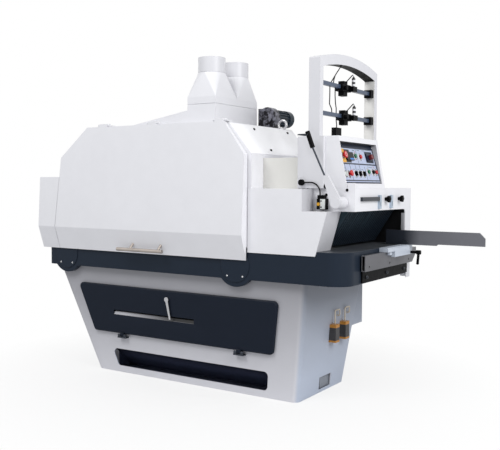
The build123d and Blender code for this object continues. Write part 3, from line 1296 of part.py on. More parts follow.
def lifting_eye():
    """Eye bolt on the roof for lifting the machine."""
    ring = Cylinder(EYE_RADIUS, EYE_THICKNESS) - Cylinder(EYE_RADIUS - EYE_THICKNESS, 2 * EYE_THICKNESS)
    ring = fillet(ring.edges(), EYE_THICKNESS / 3)
    eye = Pos(EYE_X, EYE_Y, ROOF_Z + 0.75 * EYE_RADIUS) * Rot(90, 0, EYE_TURN) * ring
    eye &= rod_z(EYE_X, EYE_Y, 2 * EYE_RADIUS, (ROOF_Z, ROOF_Z + 2 * EYE_RADIUS))
    return eye + rod_z(EYE_X, EYE_Y, EYE_RADIUS / 2, (ROOF_Z, ROOF_Z + HOOD_EAR))


def guard_lean(z):
    """Leaning front of the guard at a height."""
    share = (z - GUARD_LOW_Z) / (PASS_Z - GUARD_LOW_Z)
    return GUARD_LEAN_LOW_X + share * (GUARD_LEAN_HIGH_X - GUARD_LEAN_LOW_X)


def near_plate():
    """Upright plate behind the guard, stepped for the ledge and with a tab at the front."""
    back = HOUSING_INFEED_X
    inset = GUARD_SHEET + WORKING_GAP
    tab_x = FRONT_X - TAB_LENGTH
    tab_z = LEDGE_Z + TAB_HEIGHT
    outline = [(back, TABLE_Z), (guard_lean(TABLE_Z) - inset, TABLE_Z), (guard_lean(PASS_Z) - inset, PASS_Z),
               (FRONT_X, PASS_Z), (FRONT_X, tab_z), (tab_x, tab_z), (tab_x, LEDGE_Z), (STEP_X, LEDGE_Z),
               (STEP_X, STEP_Z), (back, STEP_Z)]
    y_span = (NEAR_PLATE_Y, NEAR_PLATE_Y + PLATE)
    hole_x = FRONT_X - CONSOLE_FOOT_BACK
    hole = rod_y(hole_x, LEDGE_Z + PLUG_LIFT, SIGHT_HOLE, grown(y_span, OVERCUT))
    return side_prism(outline, y_span) - hole


def front_wall():
    """Infeed wall with its mouth, a skirt and return past the bed, and the post beside the mouth."""
    front = (FRONT_X - PLATE, FRONT_X)
    wall = block(front, (NEAR_PLATE_Y, FRONT_FAR_Y), (TABLE_Z, LEDGE_Z))
    mouth_y = (NEAR_PLATE_Y - PASS_CORNER - PLATE, MOUTH_FAR_Y)
    wall -= rounded_mouth(mouth_y, (TABLE_Z - OVERCUT, PASS_Z), grown(front, OVERCUT))
    skirt_z = TABLE_Z - SKIRT_DROP
    wall += block(front, (BED_FAR_Y + PANEL_GAP, FRONT_FAR_Y), (skirt_z, TABLE_Z))
    wall += block((FRONT_X - SKIRT_RETURN, FRONT_X), (FRONT_FAR_Y - PLATE, FRONT_FAR_Y), (skirt_z, LEDGE_Z))
    post_y = (MOUTH_FAR_Y, MOUTH_FAR_Y + PLATE)
    return wall + block((FRONT_X - MOUTH_POST, FRONT_X), post_y, (TABLE_Z, PASS_Z - PASS_CORNER))


def infeed_housing():
    """Tunnel over the infeed table: near plate, far plate, two roof levels and the infeed wall."""
    back = HOUSING_INFEED_X
    far_y = BED_FAR_Y - OVERCUT
    ledge = (LEDGE_Z - PLATE, LEDGE_Z)
    shell = near_plate()
    shell += block((back, FRONT_X), (far_y - PLATE, far_y), (TABLE_Z, LEDGE_Z))
    shell += block((STEP_X - PLATE, FRONT_X), (NEAR_PLATE_Y, FRONT_FAR_Y), ledge)
    shell += block((back, STEP_X), (HOUSING_FAR_Y - PLATE, far_y), ledge)
    shell += block((back, STEP_X), (NEAR_PLATE_Y, HOUSING_FAR_Y), (STEP_Z - PLATE, STEP_Z))
    rise = (ledge[0], STEP_Z)
    shell += block((back, STEP_X), (HOUSING_FAR_Y - PLATE, HOUSING_FAR_Y), rise)
    shell += block((STEP_X - PLATE, STEP_X), (NEAR_PLATE_Y, HOUSING_FAR_Y), rise)
    shell += front_wall()
    shaft_y = (NEAR_PLATE_Y - OVERCUT, BED_FAR_Y)
    return shell - rod_y(LEVER_X, LEVER_Z, FINGER_SHAFT_RADIUS + RUNNING, shaft_y)


def infeed_guard():
    """Stepped side guard with a leaning front that turns in past the near plate."""
    def outline(inset, low_z):
        return [(GUARD_OUTFEED_X + inset, low_z), (guard_lean(low_z) - inset, low_z),
                (guard_lean(PASS_Z) - inset, PASS_Z - inset), (GUARD_STEP_X - inset, PASS_Z - inset),
                (GUARD_STEP_X - inset, GUARD_TOP_Z - inset), (GUARD_OUTFEED_X + inset, GUARD_TOP_Z - inset)]

    inside_y = (BED_NEAR_Y, NEAR_PLATE_Y + OVERCUT)
    guard = side_prism(outline(0, GUARD_LOW_Z), (BED_NEAR_Y - GUARD_SHEET, NEAR_PLATE_Y))
    guard -= side_prism(outline(GUARD_SHEET, GUARD_LOW_Z - OVERCUT), inside_y)
    open_end = (GUARD_OUTFEED_X - OVERCUT, HOUSING_INFEED_X)
    guard -= block(open_end, inside_y, grown((GUARD_LOW_Z, GUARD_TOP_Z), OVERCUT))
    low = guard_lean(TABLE_Z)
    high = guard_lean(PASS_Z)
    lip = [(low - GUARD_SHEET, TABLE_Z), (low, TABLE_Z), (high, PASS_Z), (high - GUARD_SHEET, PASS_Z)]
    guard += side_prism(lip, (NEAR_PLATE_Y - OVERCUT, NEAR_PLATE_Y + GUARD_LIP))
    table_room = block((0, FRONT_X), (BED_NEAR_Y, 0), (GUARD_LOW_Z - WORKING_GAP, TABLE_Z))
    return guard - table_room


def console_outline(inset):
    slant = math.tan(CONSOLE_SLANT)
    lean = inset / math.cos(CONSOLE_SLANT)
    low = LEDGE_Z + inset
    high = CONSOLE_TOP_Z - inset
    step = STEP_Z + inset
    return [(CONSOLE_BACK_X + inset, step), (STEP_X + inset, step), (STEP_X + inset, low),
            (CONSOLE_FOOT_X - lean - inset * slant, low), (CONSOLE_TOP_X - lean + inset * slant, high),
            (CONSOLE_BACK_X + inset, high)]


def console_point(along, sunk):
    """Point in side view: so far up the sloping front of the console, and so deep behind it."""
    x = CONSOLE_FOOT_X - along * math.sin(CONSOLE_SLANT) - sunk * math.cos(CONSOLE_SLANT)
    z = LEDGE_Z + along * math.cos(CONSOLE_SLANT) - sunk * math.sin(CONSOLE_SLANT)
    return (x, z)


def panel_recess(margin, over, under):
    """Side view of the recess: from over the console's front down to so far under the faceplate."""
    low = PANEL_LOW_S - margin
    high = PANEL_HIGH_S + margin
    return [console_point(low, -over), console_point(high, -over),
            console_point(high, PANEL_TOP_SUNK + under), console_point(low, PANEL_FOOT_SUNK + under)]


def console_box():
    """Sheet console with a recess whose floor tilts, so that the faceplate lies deeper at the top."""
    y_span = (NEAR_PLATE_Y, CONSOLE_FAR_Y)
    window = (PANEL_NEAR_Y, PANEL_FAR_Y)
    back = PANEL_PLATE / math.cos(PANEL_TILT)
    box = side_prism(console_outline(0), y_span)
    box -= side_prism(console_outline(CONSOLE_SHEET), grown(y_span, -CONSOLE_SHEET))
    tray = side_prism(panel_recess(TRAY_SHEET, 0, back + TRAY_SHEET), grown(window, TRAY_SHEET))
    box += tray & side_prism(console_outline(0), y_span)
    box -= side_prism(panel_recess(0, PANEL_PLATE, back), window)
    opening = panel_recess(-PANEL_LEDGE, 0, back + 3 * TRAY_SHEET)
    return box - side_prism(opening, grown(window, -PANEL_LEDGE))


def on_panel(shape, spot, height):
    """Stands a shape on the faceplate at a spot (y, distance up the plate), so high above its front."""
    angle = CONSOLE_SLANT + PANEL_TILT
    foot_x, foot_z = console_point(PANEL_LOW_S, PANEL_FOOT_SUNK)
    plane = Plane(origin=(foot_x, 0, foot_z), x_dir=(0, 1, 0), z_dir=(math.cos(angle), 0, math.sin(angle)))
    return plane * Pos(spot[0], spot[1], height) * shape


def control_spots():
    """Centres of every control with the radius of its stem."""
    buttons = [ESTOP, START_BUTTON, STOP_BUTTON, MUSHROOM] + [spot for name, spot in LOWER_BUTTONS]
    knobs = [SPEED_KNOB, SELECTOR_LEFT] + [spot for name, spot in SELECTORS]
    return [(spot, BUTTON_STEM) for spot in buttons] + [(spot, KNOB_STEM) for spot in knobs]


def faceplate():
    length = (PANEL_HIGH_S - PANEL_LOW_S) / math.cos(PANEL_TILT) - 3 * FREE
    middle = ((PANEL_FAR_Y + PANEL_NEAR_Y) / 2, length / 2 + 2 * FREE)
    plate = on_panel(Box(PANEL_WIDTH - 2 * FREE, length, PANEL_PLATE), middle, -PANEL_PLATE / 2)
    for spot, stem in control_spots():
        plate -= on_panel(Cylinder(stem + RUNNING, 3 * PANEL_PLATE), spot, 0)
    return plate


def display():
    screen = Box(*DISPLAY_SIZE)
    front = screen.faces().sort_by(Axis.Z)[-1]
    return on_panel(chamfer(front.edges(), WORKING_GAP), DISPLAY, DISPLAY_SIZE[2] / 2)


def estop_plate():
    """Tall plate around the emergency stop."""
    plate = Box(*ESTOP_PLATE) - Cylinder(ESTOP_PLATE_HOLE, 3 * ESTOP_PLATE[2])
    return on_panel(plate, ESTOP, ESTOP_PLATE[2] / 2)


def knob_plate():
    plate = Box(*KNOB_PLATE) - Cylinder(KNOB_STEM + OVERCUT, 3 * KNOB_PLATE[2])
    return on_panel(plate, SPEED_KNOB, KNOB_PLATE[2] / 2)


def bezels():
    """Rings screwed on the faceplate around the push buttons."""
    ring = Cylinder(BEZEL_RADIUS, BEZEL_HEIGHT) - Cylinder(BEZEL_BORE, 3 * BEZEL_HEIGHT)
    spots = [START_BUTTON, STOP_BUTTON] + [spot for name, spot in LOWER_BUTTONS]
    return [on_panel(ring, spot, BEZEL_HEIGHT / 2) for spot in spots]


def push_button(spot):
    stem = Cylinder(BUTTON_STEM, BUTTON_STEM_LENGTH)
    cap = Cylinder(BUTTON_RADIUS, BUTTON_CAP)
    cap = fillet(cap.edges().sort_by(Axis.Z)[-1:], WORKING_GAP)
    stem_lift = BUTTON_LIFT + PANEL_GAP - BUTTON_STEM_LENGTH / 2
    return on_panel(stem, spot, stem_lift) + on_panel(cap, spot, BUTTON_LIFT + BUTTON_CAP / 2)


def mushroom_button(spot, radius):
    stem = Cylinder(BUTTON_STEM, MUSHROOM_STEM_LENGTH)
    head = Cone(radius - BEZEL_HEIGHT, radius, MUSHROOM_HEAD)
    head += Pos(0, 0, MUSHROOM_HEAD) * Cylinder(radius, MUSHROOM_HEAD)
    head = fillet(head.edges().sort_by(Axis.Z)[-1:], BEZEL_HEIGHT)
    return on_panel(stem, spot, OVERCUT) + on_panel(head, spot, MUSHROOM_LIFT + PANEL_GAP)


def selector_knob(spot):
    stem = Cylinder(KNOB_STEM, KNOB_STEM_LENGTH)
    disc = Cylinder(SELECTOR_RADIUS, SELECTOR_DISC)
    grip = Box(*SELECTOR_GRIP)
    knob = on_panel(stem, spot, -PANEL_PLATE) + on_panel(disc, spot, FREE + SELECTOR_DISC / 2)
    return knob + on_panel(grip, spot, SELECTOR_DISC - OVERCUT + SELECTOR_GRIP[2] / 2)


def speed_knob():
    stem = Cylinder(KNOB_STEM, KNOB_STEM_LENGTH + KNOB_LIFT)
    cap = Cylinder(KNOB_RADIUS, KNOB_CAP)
    cap = fillet(cap.edges().sort_by(Axis.Z)[-1:], PANEL_GAP)
    return on_panel(stem, SPEED_KNOB, -WORKING_GAP) + on_panel(cap, SPEED_KNOB, KNOB_LIFT + KNOB_CAP / 2)


def side_column():
    """Upright cover beside the console that the near leg of the arch stands on."""
    z_span = (GUARD_TOP_Z + COLUMN_LIFT, CONSOLE_TOP_Z)
    column = block((CONSOLE_BACK_X, COLUMN_FRONT_X), (COLUMN_NEAR_Y, NEAR_PLATE_Y), z_span)
    posts = [edge for edge in upright_edges(column, ARCH_LEG) if (edge @ 0).Y < COLUMN_NEAR_Y + OVERCUT]
    return fillet(posts, COLUMN_CORNER)


def arch_face(inset):
    """Front view of the arch: two legs and a gently curved top, drawn in by an inset."""
    near = COLUMN_NEAR_Y
    far = ARCH_FAR_Y
    middle = (near + far) / 2
    inner_near = near + ARCH_LEG
    inner_far = far - ARCH_LEG
    shoulder = ARCH_SHOULDER_Z
    inner_shoulder = shoulder - ARCH_INNER_DROP
    inner_crown = (middle, inner_shoulder + ARCH_INNER_CROWN)
    outline = [
        Line((near, CONSOLE_TOP_Z), (near, shoulder)),
        ThreePointArc((near, shoulder), (middle, shoulder + ARCH_CROWN), (far, shoulder)),
        Line((far, shoulder), (far, LEDGE_Z)),
        Line((far, LEDGE_Z), (inner_far, LEDGE_Z)),
        Line((inner_far, LEDGE_Z), (inner_far, inner_shoulder)),
        ThreePointArc((inner_far, inner_shoulder), inner_crown, (inner_near, inner_shoulder)),
        Line((inner_near, inner_shoulder), (inner_near, CONSOLE_TOP_Z)),
        Line((inner_near, CONSOLE_TOP_Z), (near, CONSOLE_TOP_Z)),
    ]
    face = make_face(outline)
    top = [corner for corner in face.vertices() if corner.Y > inner_shoulder - OVERCUT]
    face = fillet(top, ARCH_CORNER)
    return offset(face, amount=-inset) if inset else face


def arch_frame():
    """Hollow arch, open at the back, on its side column."""
    plane = Plane(origin=(ARCH_BACK_X, 0, 0), x_dir=(0, 1, 0), z_dir=(1, 0, 0))
    frame = extrude(plane * arch_face(0), amount=ARCH_DEPTH, dir=(1, 0, 0))
    frame -= extrude(plane * arch_face(ARCH_SHEET), amount=ARCH_DEPTH - ARCH_SHEET, dir=(1, 0, 0))
    return frame + side_column()


def laser_bars():
    """Two square bars across the arch, each with a bracket at its far end."""
    bars = []
    near = COLUMN_NEAR_Y + ARCH_LEG
    far = ARCH_FAR_Y - ARCH_LEG
    for z in (BAR_HIGH_Z, BAR_LOW_Z):
        bar = block(around(BAR_X, BAR_SIZE / 2), (near, far), around(z, BAR_SIZE / 2))
        bar += block(around(BAR_X, BAR_BRACKET_HALF), (far - BAR_BRACKET, far), around(z, BAR_BRACKET_HALF))
        bars.append(bar)
    return bars


def laser_driver():
    """Small power box on the console that the leads run to."""
    depth, width, height = DRIVER_SIZE
    y_span = (DRIVER_NEAR_Y, DRIVER_NEAR_Y + width)
    return block(around(BAR_X, depth / 2), y_span, (CONSOLE_TOP_Z, CONSOLE_TOP_Z + height))


def lead_routes():
    """Points (y, z) of the leads that hang from the arch to the bars and on to the driver box."""
    high = BAR_HIGH_Z
    low = BAR_LOW_Z
    return (
        ((107, high + 122), (50, high + 76), (-38, high)),
        ((28, high + 57), (14, high + 34), (3, high)),
        ((-37, high), (-37, high - 64), (-40, high - 110), (-12, low + 31), (-8, low)),
        ((30, high), (30, high - 54), (36, high - 98), (47, low + 39), (47, low)),
        ((48, low), (48, low - 31), (55, low - 51), (55, CONSOLE_TOP_Z + DRIVER_SIZE[2])),
    )


def laser_leads():
    stops = laser_bars() + [laser_driver(), arch_frame()]
    leads = []
    for route in lead_routes():
        path = FilletPolyline(*[(BAR_X, y, z) for y, z in route], radius=5 * LASER_LEAD)
        lead = round_along(path, LASER_LEAD) - Compound(children=stops)
        stops.append(lead)
        leads.append(lead)
    return leads


def laser_head(rise, y):
    """Clamp that slides on a bar: an upright block, a cross sleeve, and a line laser on a side shelf."""
    z = TABLE_Z + rise
    depth, width, height = CLAMP_BLOCK
    low = z - CLAMP_BLOCK_DROP
    head = block(around(BAR_X, depth / 2), around(y, width / 2), (low, low + height))
    sleeve_y = (y - SLEEVE_NEAR, y + SLEEVE_FAR)
    head += block(around(BAR_X, SLEEVE_HALF), sleeve_y, (z - SLEEVE_DROP, z + SLEEVE_LIFT))
    bore = BAR_SIZE / 2 + SLIDING
    head -= block(around(BAR_X, bore), grown(sleeve_y, OVERCUT), around(z, bore))
    laser_x = BAR_X + LASER_OUT
    laser_y = y + LASER_ALONG
    shelf_x = (BAR_X + SLEEVE_HALF - OVERCUT, laser_x + SHELF[0] / 2)
    head += block(shelf_x, around(laser_y, SHELF[1] / 2), (z - SHELF_DROP, z - SHELF_DROP + SHELF[2]))
    foot = z + LASER_LIFT
    top = foot + LASER_LENGTH
    head += rod_z(laser_x, laser_y, LASER_RADIUS, (foot, top))
    head += rod_z(laser_x, laser_y, LASER_CAP, (top - OVERCUT, top + BASE_SHEET))
    thumb_x = (BAR_X + SLEEVE_HALF - OVERCUT, BAR_X + SLEEVE_HALF + THUMB_LENGTH)
    head += rod_x(y - SLEEVE_NEAR / 2, z - THUMB_RADIUS / 2, THUMB_RADIUS, thumb_x)
    return head + laser_pigtail(y, z, (laser_x, laser_y, top))


def laser_pigtail(y, z, laser_top):
    """Short lead from the clamp to the top of its laser."""
    x, laser_y, top = laser_top
    start_z = z + CLAMP_BLOCK[2] - CLAMP_BLOCK_DROP - PLATE
    side_y = y + CLAMP_BLOCK[1] / 2
    crest = top + 4 * PLATE
    points = [(BAR_X + PLATE, side_y - PLATE, start_z),
              (BAR_X + 2 * PLATE, side_y + 2 * PLATE, start_z + 2 * PLATE),
              (x, laser_y - 2 * PLATE, crest), (x, laser_y, crest - PLATE), laser_top]
    return round_along(FilletPolyline(*points, radius=PLATE), LASER_LEAD)


def limit_switch():
    """Switch box on the near plate with a raised cap and a roller."""
    length, depth, height = SWITCH_SIZE
    near = NEAR_PLATE_Y - depth
    top = SWITCH_Z + height
    body = block((SWITCH_X, SWITCH_X + length), (near, NEAR_PLATE_Y), (SWITCH_Z, top))
    cap_x = (SWITCH_X + WORKING_GAP, SWITCH_X + WORKING_GAP + SWITCH_CAP[0])
    body += block(cap_x, (NEAR_PLATE_Y - SWITCH_CAP[1], NEAR_PLATE_Y), (top, top + SWITCH_CAP[2]))
    roller_y = (near - SWITCH_ROLLER_LENGTH, near)
    return body + rod_y(SWITCH_X + SWITCH_ROLLER_X, SWITCH_Z + height / 2, SWITCH_ROLLER, roller_y)


def switch_gland():
    return rod_y(GLAND_X, GLAND_Z, GLAND_RADIUS, (COLUMN_NEAR_Y - GLAND_LENGTH, COLUMN_NEAR_Y))


def switch_lead():
    """Lead from the gland on the column to the cap of the switch."""
    end_x = FRONT_X - LEAD_END_BACK
    y = COLUMN_NEAR_Y - LEAD_OUT
    end_z = SWITCH_Z + SWITCH_SIZE[2] + SWITCH_CAP[2]
    start_x = GLAND_X + GLAND_RADIUS - WORKING_GAP
    path = FilletPolyline((start_x, y, GLAND_Z), (end_x, y, GLAND_Z), (end_x, y, end_z), radius=LEAD_BEND)
    return round_along(path, LEAD_RADIUS) - switch_gland()


def side_plug():
    y_span = (NEAR_PLATE_Y - PLUG_LENGTH, NEAR_PLATE_Y)
    return rod_y(FRONT_X - PLUG_BACK, LEDGE_Z + PLUG_LIFT, PLUG_RADIUS, y_span)


def at_lever(points):
    """Side view points given from the lever's pivot."""
    return [(LEVER_X + x, LEVER_Z + z) for x, z in points]


def lever_rod():
    (foot_x, foot_z), (top_x, top_z) = at_lever((LEVER_ROD_FOOT, LEVER_ROD_TOP))
    return rod_between((foot_x, LEVER_Y, foot_z), (top_x, LEVER_Y, top_z), LEVER_ROD)


def hand_lever():
    """Boss, flat arm and steel rod of the lever that lifts the fingers."""
    front = LEVER_Y - LEVER_ARM / 2
    lever = rod_y(LEVER_X, LEVER_Z, LEVER_HUB, (front, NEAR_PLATE_Y - WORKING_GAP))
    lever += rod_y(LEVER_X, LEVER_Z, LEVER_CAP, (front - LEVER_CAP_HEIGHT, front + OVERCUT))
    lever += side_prism(at_lever(LEVER_ARM_OUTLINE), around(LEVER_Y, LEVER_ARM / 2))
    return lever + lever_rod()


def lever_grip():
    """Grip on the lever's rod, notched for its trigger."""
    (foot_x, foot_z), (top_x, top_z) = at_lever((GRIP_FOOT, GRIP_TOP))
    grip = rod_between((foot_x, LEVER_Y, foot_z), (top_x, LEVER_Y, top_z), GRIP_RADIUS)
    pin_hole = rod_y(TRIGGER_X, TRIGGER_Z, TRIGGER_PIN + RUNNING, around(LEVER_Y, GRIP_RADIUS + OVERCUT))
    notch_x = (TRIGGER_X + TRIGGER_NOTCH[0], TRIGGER_X + TRIGGER_NOTCH[1])
    notch_y = around(LEVER_Y, TRIGGER_WIDTH / 2 + OVERCUT)
    return grip - lever_rod() - pin_hole - block(notch_x, notch_y, around(TRIGGER_Z, TRIGGER_NOTCH_HALF))


def lever_trigger():
    pin = rod_y(TRIGGER_X, TRIGGER_Z, TRIGGER_PIN, around(LEVER_Y, GRIP_RADIUS - OVERCUT))
    blade = [(TRIGGER_X + x, TRIGGER_Z + z) for x, z in TRIGGER_OUTLINE]
    return pin + side_prism(blade, around(LEVER_Y, TRIGGER_WIDTH / 2))


def finger_shaft():
    return rod_y(LEVER_X, LEVER_Z, FINGER_SHAFT_RADIUS, (NEAR_PLATE_Y - WORKING_GAP, BED_FAR_Y - PANEL_GAP))


def kickback_fingers():
    """Rank of like fingers that hang from the lever's shaft down to the table."""
    tip_x = LEVER_X - FINGER_TIP_BACK
    tip_z = TABLE_Z + FINGER_TIP_LIFT
    outline = at_lever(FINGER_HEAD) + [(tip_x + x, tip_z + z) for x, z in FINGER_TIP]
    blank = side_prism(outline, (0, FINGER_THICKNESS))
    blank -= rod_y(LEVER_X, LEVER_Z, FINGER_SHAFT_RADIUS + RUNNING, grown((0, FINGER_THICKNESS), OVERCUT))
    start = NEAR_PLATE_Y + PLATE + FINGER_START
    return [Pos(0, start + index * FINGER_PITCH, 0) * blank for index in range(FINGER_COUNT)]


def gauge_bars():
    """Slotted stop bars clamped across the infeed wall."""
    x_span = (FRONT_X, FRONT_X + GAUGE_DEPTH)
    low = PASS_Z + GAUGE_LIFT
    bars = [block(x_span, (GAUGE_NEAR_Y, GAUGE_NEAR_Y + GAUGE_LENGTH), (low, low + GAUGE_HEIGHT))]
    foot = PASS_Z + STOP_BAR_LIFT
    slot_low = foot + STOP_SLOT_LIFT
    for y in STOP_BAR_YS:
        bar = block(x_span, around(y, STOP_BAR_WIDTH / 2), (foot, foot + STOP_BAR_HEIGHT))
        slot_z = (slot_low, slot_low + STOP_SLOT_HEIGHT)
        bars.append(bar - block(grown(x_span, OVERCUT), around(y, STOP_SLOT_WIDTH / 2), slot_z))
    return bars


def star_posts():
    return [rod_x(y, STAR_Z, POST_RADIUS, (FRONT_X, FRONT_X + POST_LENGTH)) for name, y in STARS]


def star_knob(y):
    front = FRONT_X + POST_LENGTH + SEAT_GAP
    end = front + STAR_LENGTH
    knob = rod_x(y, STAR_Z, STAR_HUB, (front, end))
    for index in range(STAR_LOBES):
        angle = 2 * math.pi * index / STAR_LOBES
        lobe_y = y + STAR_HUB * math.cos(angle)
        lobe_z = STAR_Z + STAR_HUB * math.sin(angle)
        knob += rod_x(lobe_y, lobe_z, STAR_LOBE, (front + 2 * WORKING_GAP, end - WORKING_GAP))
    return knob


def lube_units():
    """Two lubricators on the infeed face of the base."""
    units = []
    hull = cabinet_hull(0, (0, BASE_HEIGHT))
    for y in LUBE_YS:
        unit_z = (LUBE_LOW_Z, LUBE_LOW_Z + LUBE_HEIGHT)
        unit = block((HALF_LENGTH, HALF_LENGTH + LUBE_OUT), (y, y + LUBE_WIDTH), unit_z)
        units.append(unit - hull)
    return units


def lube_tubes():
    """Bent tubes from the lubricators back into the base."""
    tubes = []
    hull = cabinet_hull(0, (0, BASE_HEIGHT))
    x = HALF_LENGTH + TUBE_OUT
    foot = LUBE_LOW_Z + LUBE_HEIGHT
    crest = foot + TUBE_RISE
    for start in LUBE_YS:
        y = start + LUBE_WIDTH / 2
        end_y = y + TUBE_RUN
        end_x = x - 2 * TUBE_BEND - TUBE_RADIUS
        path = FilletPolyline((x, y, foot), (x, y, crest), (x, end_y, crest), (x, end_y, crest - TUBE_DROP),
                              (end_x, end_y, crest - TUBE_DROP), radius=TUBE_BEND)
        tubes.append(round_along(path, TUBE_RADIUS) - hull)
    return tubes


def saw_arbor():
    end = BELT_SPAN[1] + CHAIN_ROOM
    arbor = rod_y(ARBOR_X, ARBOR_Z, ARBOR_RADIUS, (CHAIN_NEAR_Y - GUIDE_INSET, end))
    collar_y = (CHAIN_FAR_Y - NUT_INSET, CHAIN_FAR_Y + BASE_SHEET)
    return arbor + rod_y(ARBOR_X, ARBOR_Z, ARBOR_RADIUS + BED_WALL, collar_y)


def blade_span(index):
    low = CHAIN_NEAR_Y + BLADE_INSET + index * BLADE_PITCH
    return (low, low + BLADE_THICKNESS)


def blade_points():
    """Saw tooth outline round the arbor."""
    points = []
    step = 2 * math.pi / BLADE_TEETH
    tooth = ((BLADE_RADIUS, 0.0), (BLADE_RADIUS - TOOTH_CREST, 0.45), (BLADE_RADIUS - TOOTH_DEPTH, 0.62))
    for index in range(BLADE_TEETH):
        for radius, part in tooth:
            turn = (index + part) * step
            points.append((ARBOR_X + radius * math.cos(turn), ARBOR_Z + radius * math.sin(turn)))
    return points


def saw_blades():
    """Toothed discs with four raker slots each."""
    blades = []
    for index in range(BLADE_COUNT):
        y_span = blade_span(index)
        bore = grown(y_span, OVERCUT)
        blade = side_prism(blade_points(), y_span)
        blade -= rod_y(ARBOR_X, ARBOR_Z, ARBOR_RADIUS + RUNNING, bore)
        for turn in range(4):
            slot = block((RAKER_START, RAKER_END), bore, around(0, RAKER_WIDTH / 2))
            blade -= Pos(ARBOR_X, 0, ARBOR_Z) * Rot(0, 45 + 90 * turn, 0) * slot
        blades.append(blade)
    return blades


def arbor_ring(y_span):
    """Ring that slips on the arbor."""
    ring = rod_y(ARBOR_X, ARBOR_Z, ARBOR_RADIUS + SPACER, y_span)
    return ring - rod_y(ARBOR_X, ARBOR_Z, ARBOR_RADIUS + RUNNING, grown(y_span, OVERCUT))


def blade_spacers():
    """Nut and spacers that hold the blades apart on the arbor."""
    rings = [arbor_ring((CHAIN_NEAR_Y - NUT_INSET, blade_span(0)[0]))]
    for index in range(BLADE_COUNT):
        last = index + 1 == BLADE_COUNT
        high = CHAIN_FAR_Y - NUT_INSET if last else blade_span(index + 1)[0]
        rings.append(arbor_ring((blade_span(index)[1], high)))
    return rings


def pulley(z, bore):
    """Flat belt pulley with two rims."""
    wheel = rod_y(ARBOR_X, z, PULLEY_RADIUS, BELT_SPAN)
    for y in BELT_SPAN:
        wheel += rod_y(ARBOR_X, z, PULLEY_RADIUS + PULLEY_LIP, around(y, PULLEY_LIP / 2))
    return wheel - rod_y(ARBOR_X, z, bore, grown(BELT_SPAN, PULLEY_LIP))


def main_motor():
    """Finned motor on the floor of the base, with a foot and an end flange."""
    far = MOTOR_FAR_Y
    near = far - MOTOR_LENGTH
    motor = rod_y(ARBOR_X, MOTOR_Z, MOTOR_RADIUS, (near, far))
    fin_z = (MOTOR_RADIUS - WORKING_GAP, MOTOR_RADIUS + MOTOR_FIN)
    for index in range(MOTOR_FINS):
        fin = block(around(0, PANEL_GAP), (near + 6 * MOTOR_FIN, far - 5 * MOTOR_FIN), fin_z)
        motor += Pos(ARBOR_X, 0, MOTOR_Z) * Rot(0, index * 360 / MOTOR_FINS, 0) * fin
    foot_y = (near + 7 * MOTOR_FIN, far - 6 * MOTOR_FIN)
    foot_z = (BASE_SHEET, MOTOR_Z - MOTOR_RADIUS + 4 * MOTOR_FIN)
    motor += block(around(ARBOR_X, MOTOR_FOOT / 2), foot_y, foot_z)
    motor += rod_y(ARBOR_X, MOTOR_Z, MOTOR_RADIUS + MOTOR_FIN, (far - 4 * MOTOR_FIN, far))
    return motor - rod_y(ARBOR_X, MOTOR_Z, SHAFT_RADIUS + RUNNING, (far - MOTOR_BORE, far + OVERCUT))


def motor_shaft():
    y_span = (MOTOR_FAR_Y - MOTOR_BORE + FREE, BELT_SPAN[1] + CHAIN_ROOM)
    return rod_y(ARBOR_X, MOTOR_Z, SHAFT_RADIUS, y_span)


def drive_belt():
    y_span = grown(BELT_SPAN, -PLATE)

    def loop(radius, span):
        run = block(around(ARBOR_X, radius), span, (MOTOR_Z, ARBOR_Z))
        return run + rod_y(ARBOR_X, MOTOR_Z, radius, span) + rod_y(ARBOR_X, ARBOR_Z, radius, span)

    inner = PULLEY_RADIUS + BELT_GRIP_GAP
    return loop(inner + BELT_THICKNESS, y_span) - loop(inner, grown(y_span, OVERCUT))


def drive_cover():
    """Closed sheet cover over the belt, with two shaft holes through its back."""
    x_span = around(ARBOR_X, DRIVE_COVER_HALF)
    y_span = (BED_FAR_Y, BELT_Y + DRIVE_COVER_ROOM)
    z_span = (DRIVE_COVER_LOW_Z, ARBOR_Z + DRIVE_COVER_HALF)
    cover = block(x_span, y_span, z_span)
    cover -= block(grown(x_span, -HOOD_SHEET), grown(y_span, -HOOD_SHEET), grown(z_span, -HOOD_SHEET))
    back = grown((BED_FAR_Y, BED_FAR_Y + HOOD_SHEET), OVERCUT)
    cover -= rod_y(ARBOR_X, ARBOR_Z, ARBOR_RADIUS + CHAIN_ROOM, back)
    return cover - rod_y(ARBOR_X, MOTOR_Z, SHAFT_RADIUS + CHAIN_ROOM, back)


def press_frame(middle):
    """Carrier for a pressure roller that slides on two guide rods."""
    half = ROLLER_RADIUS + PRESS_SIDE
    near, far = PRESS_SPAN
    top_z = PRESS_PLATE_Z + PRESS_PLATE
    frame = block(around(middle, half), PRESS_SPAN, (PRESS_PLATE_Z, top_z))
    foot_z = ROLLER_Z - PRESS_SIDE
    foot_half = half - PRESS_TAPER
    cheek = [(middle - half, PRESS_PLATE_Z), (middle - foot_half, foot_z), (middle + foot_half, foot_z),
             (middle + half, PRESS_PLATE_Z)]
    for y_span in ((near, near + PRESS_CHEEK), (far - PRESS_CHEEK, far)):
        frame += side_prism(cheek, y_span)
    frame -= rod_y(middle, ROLLER_Z, ROLLER_PIN + RUNNING, grown(PRESS_SPAN, OVERCUT))
    sleeve_top = top_z + GUIDE_SLEEVE_LENGTH
    for y in GUIDE_YS:
        frame += rod_z(middle, y, GUIDE_RADIUS + GUIDE_SLEEVE, (top_z - OVERCUT, sleeve_top))
        frame -= rod_z(middle, y, GUIDE_RADIUS + RUNNING, grown((PRESS_PLATE_Z, sleeve_top), OVERCUT))
    return frame


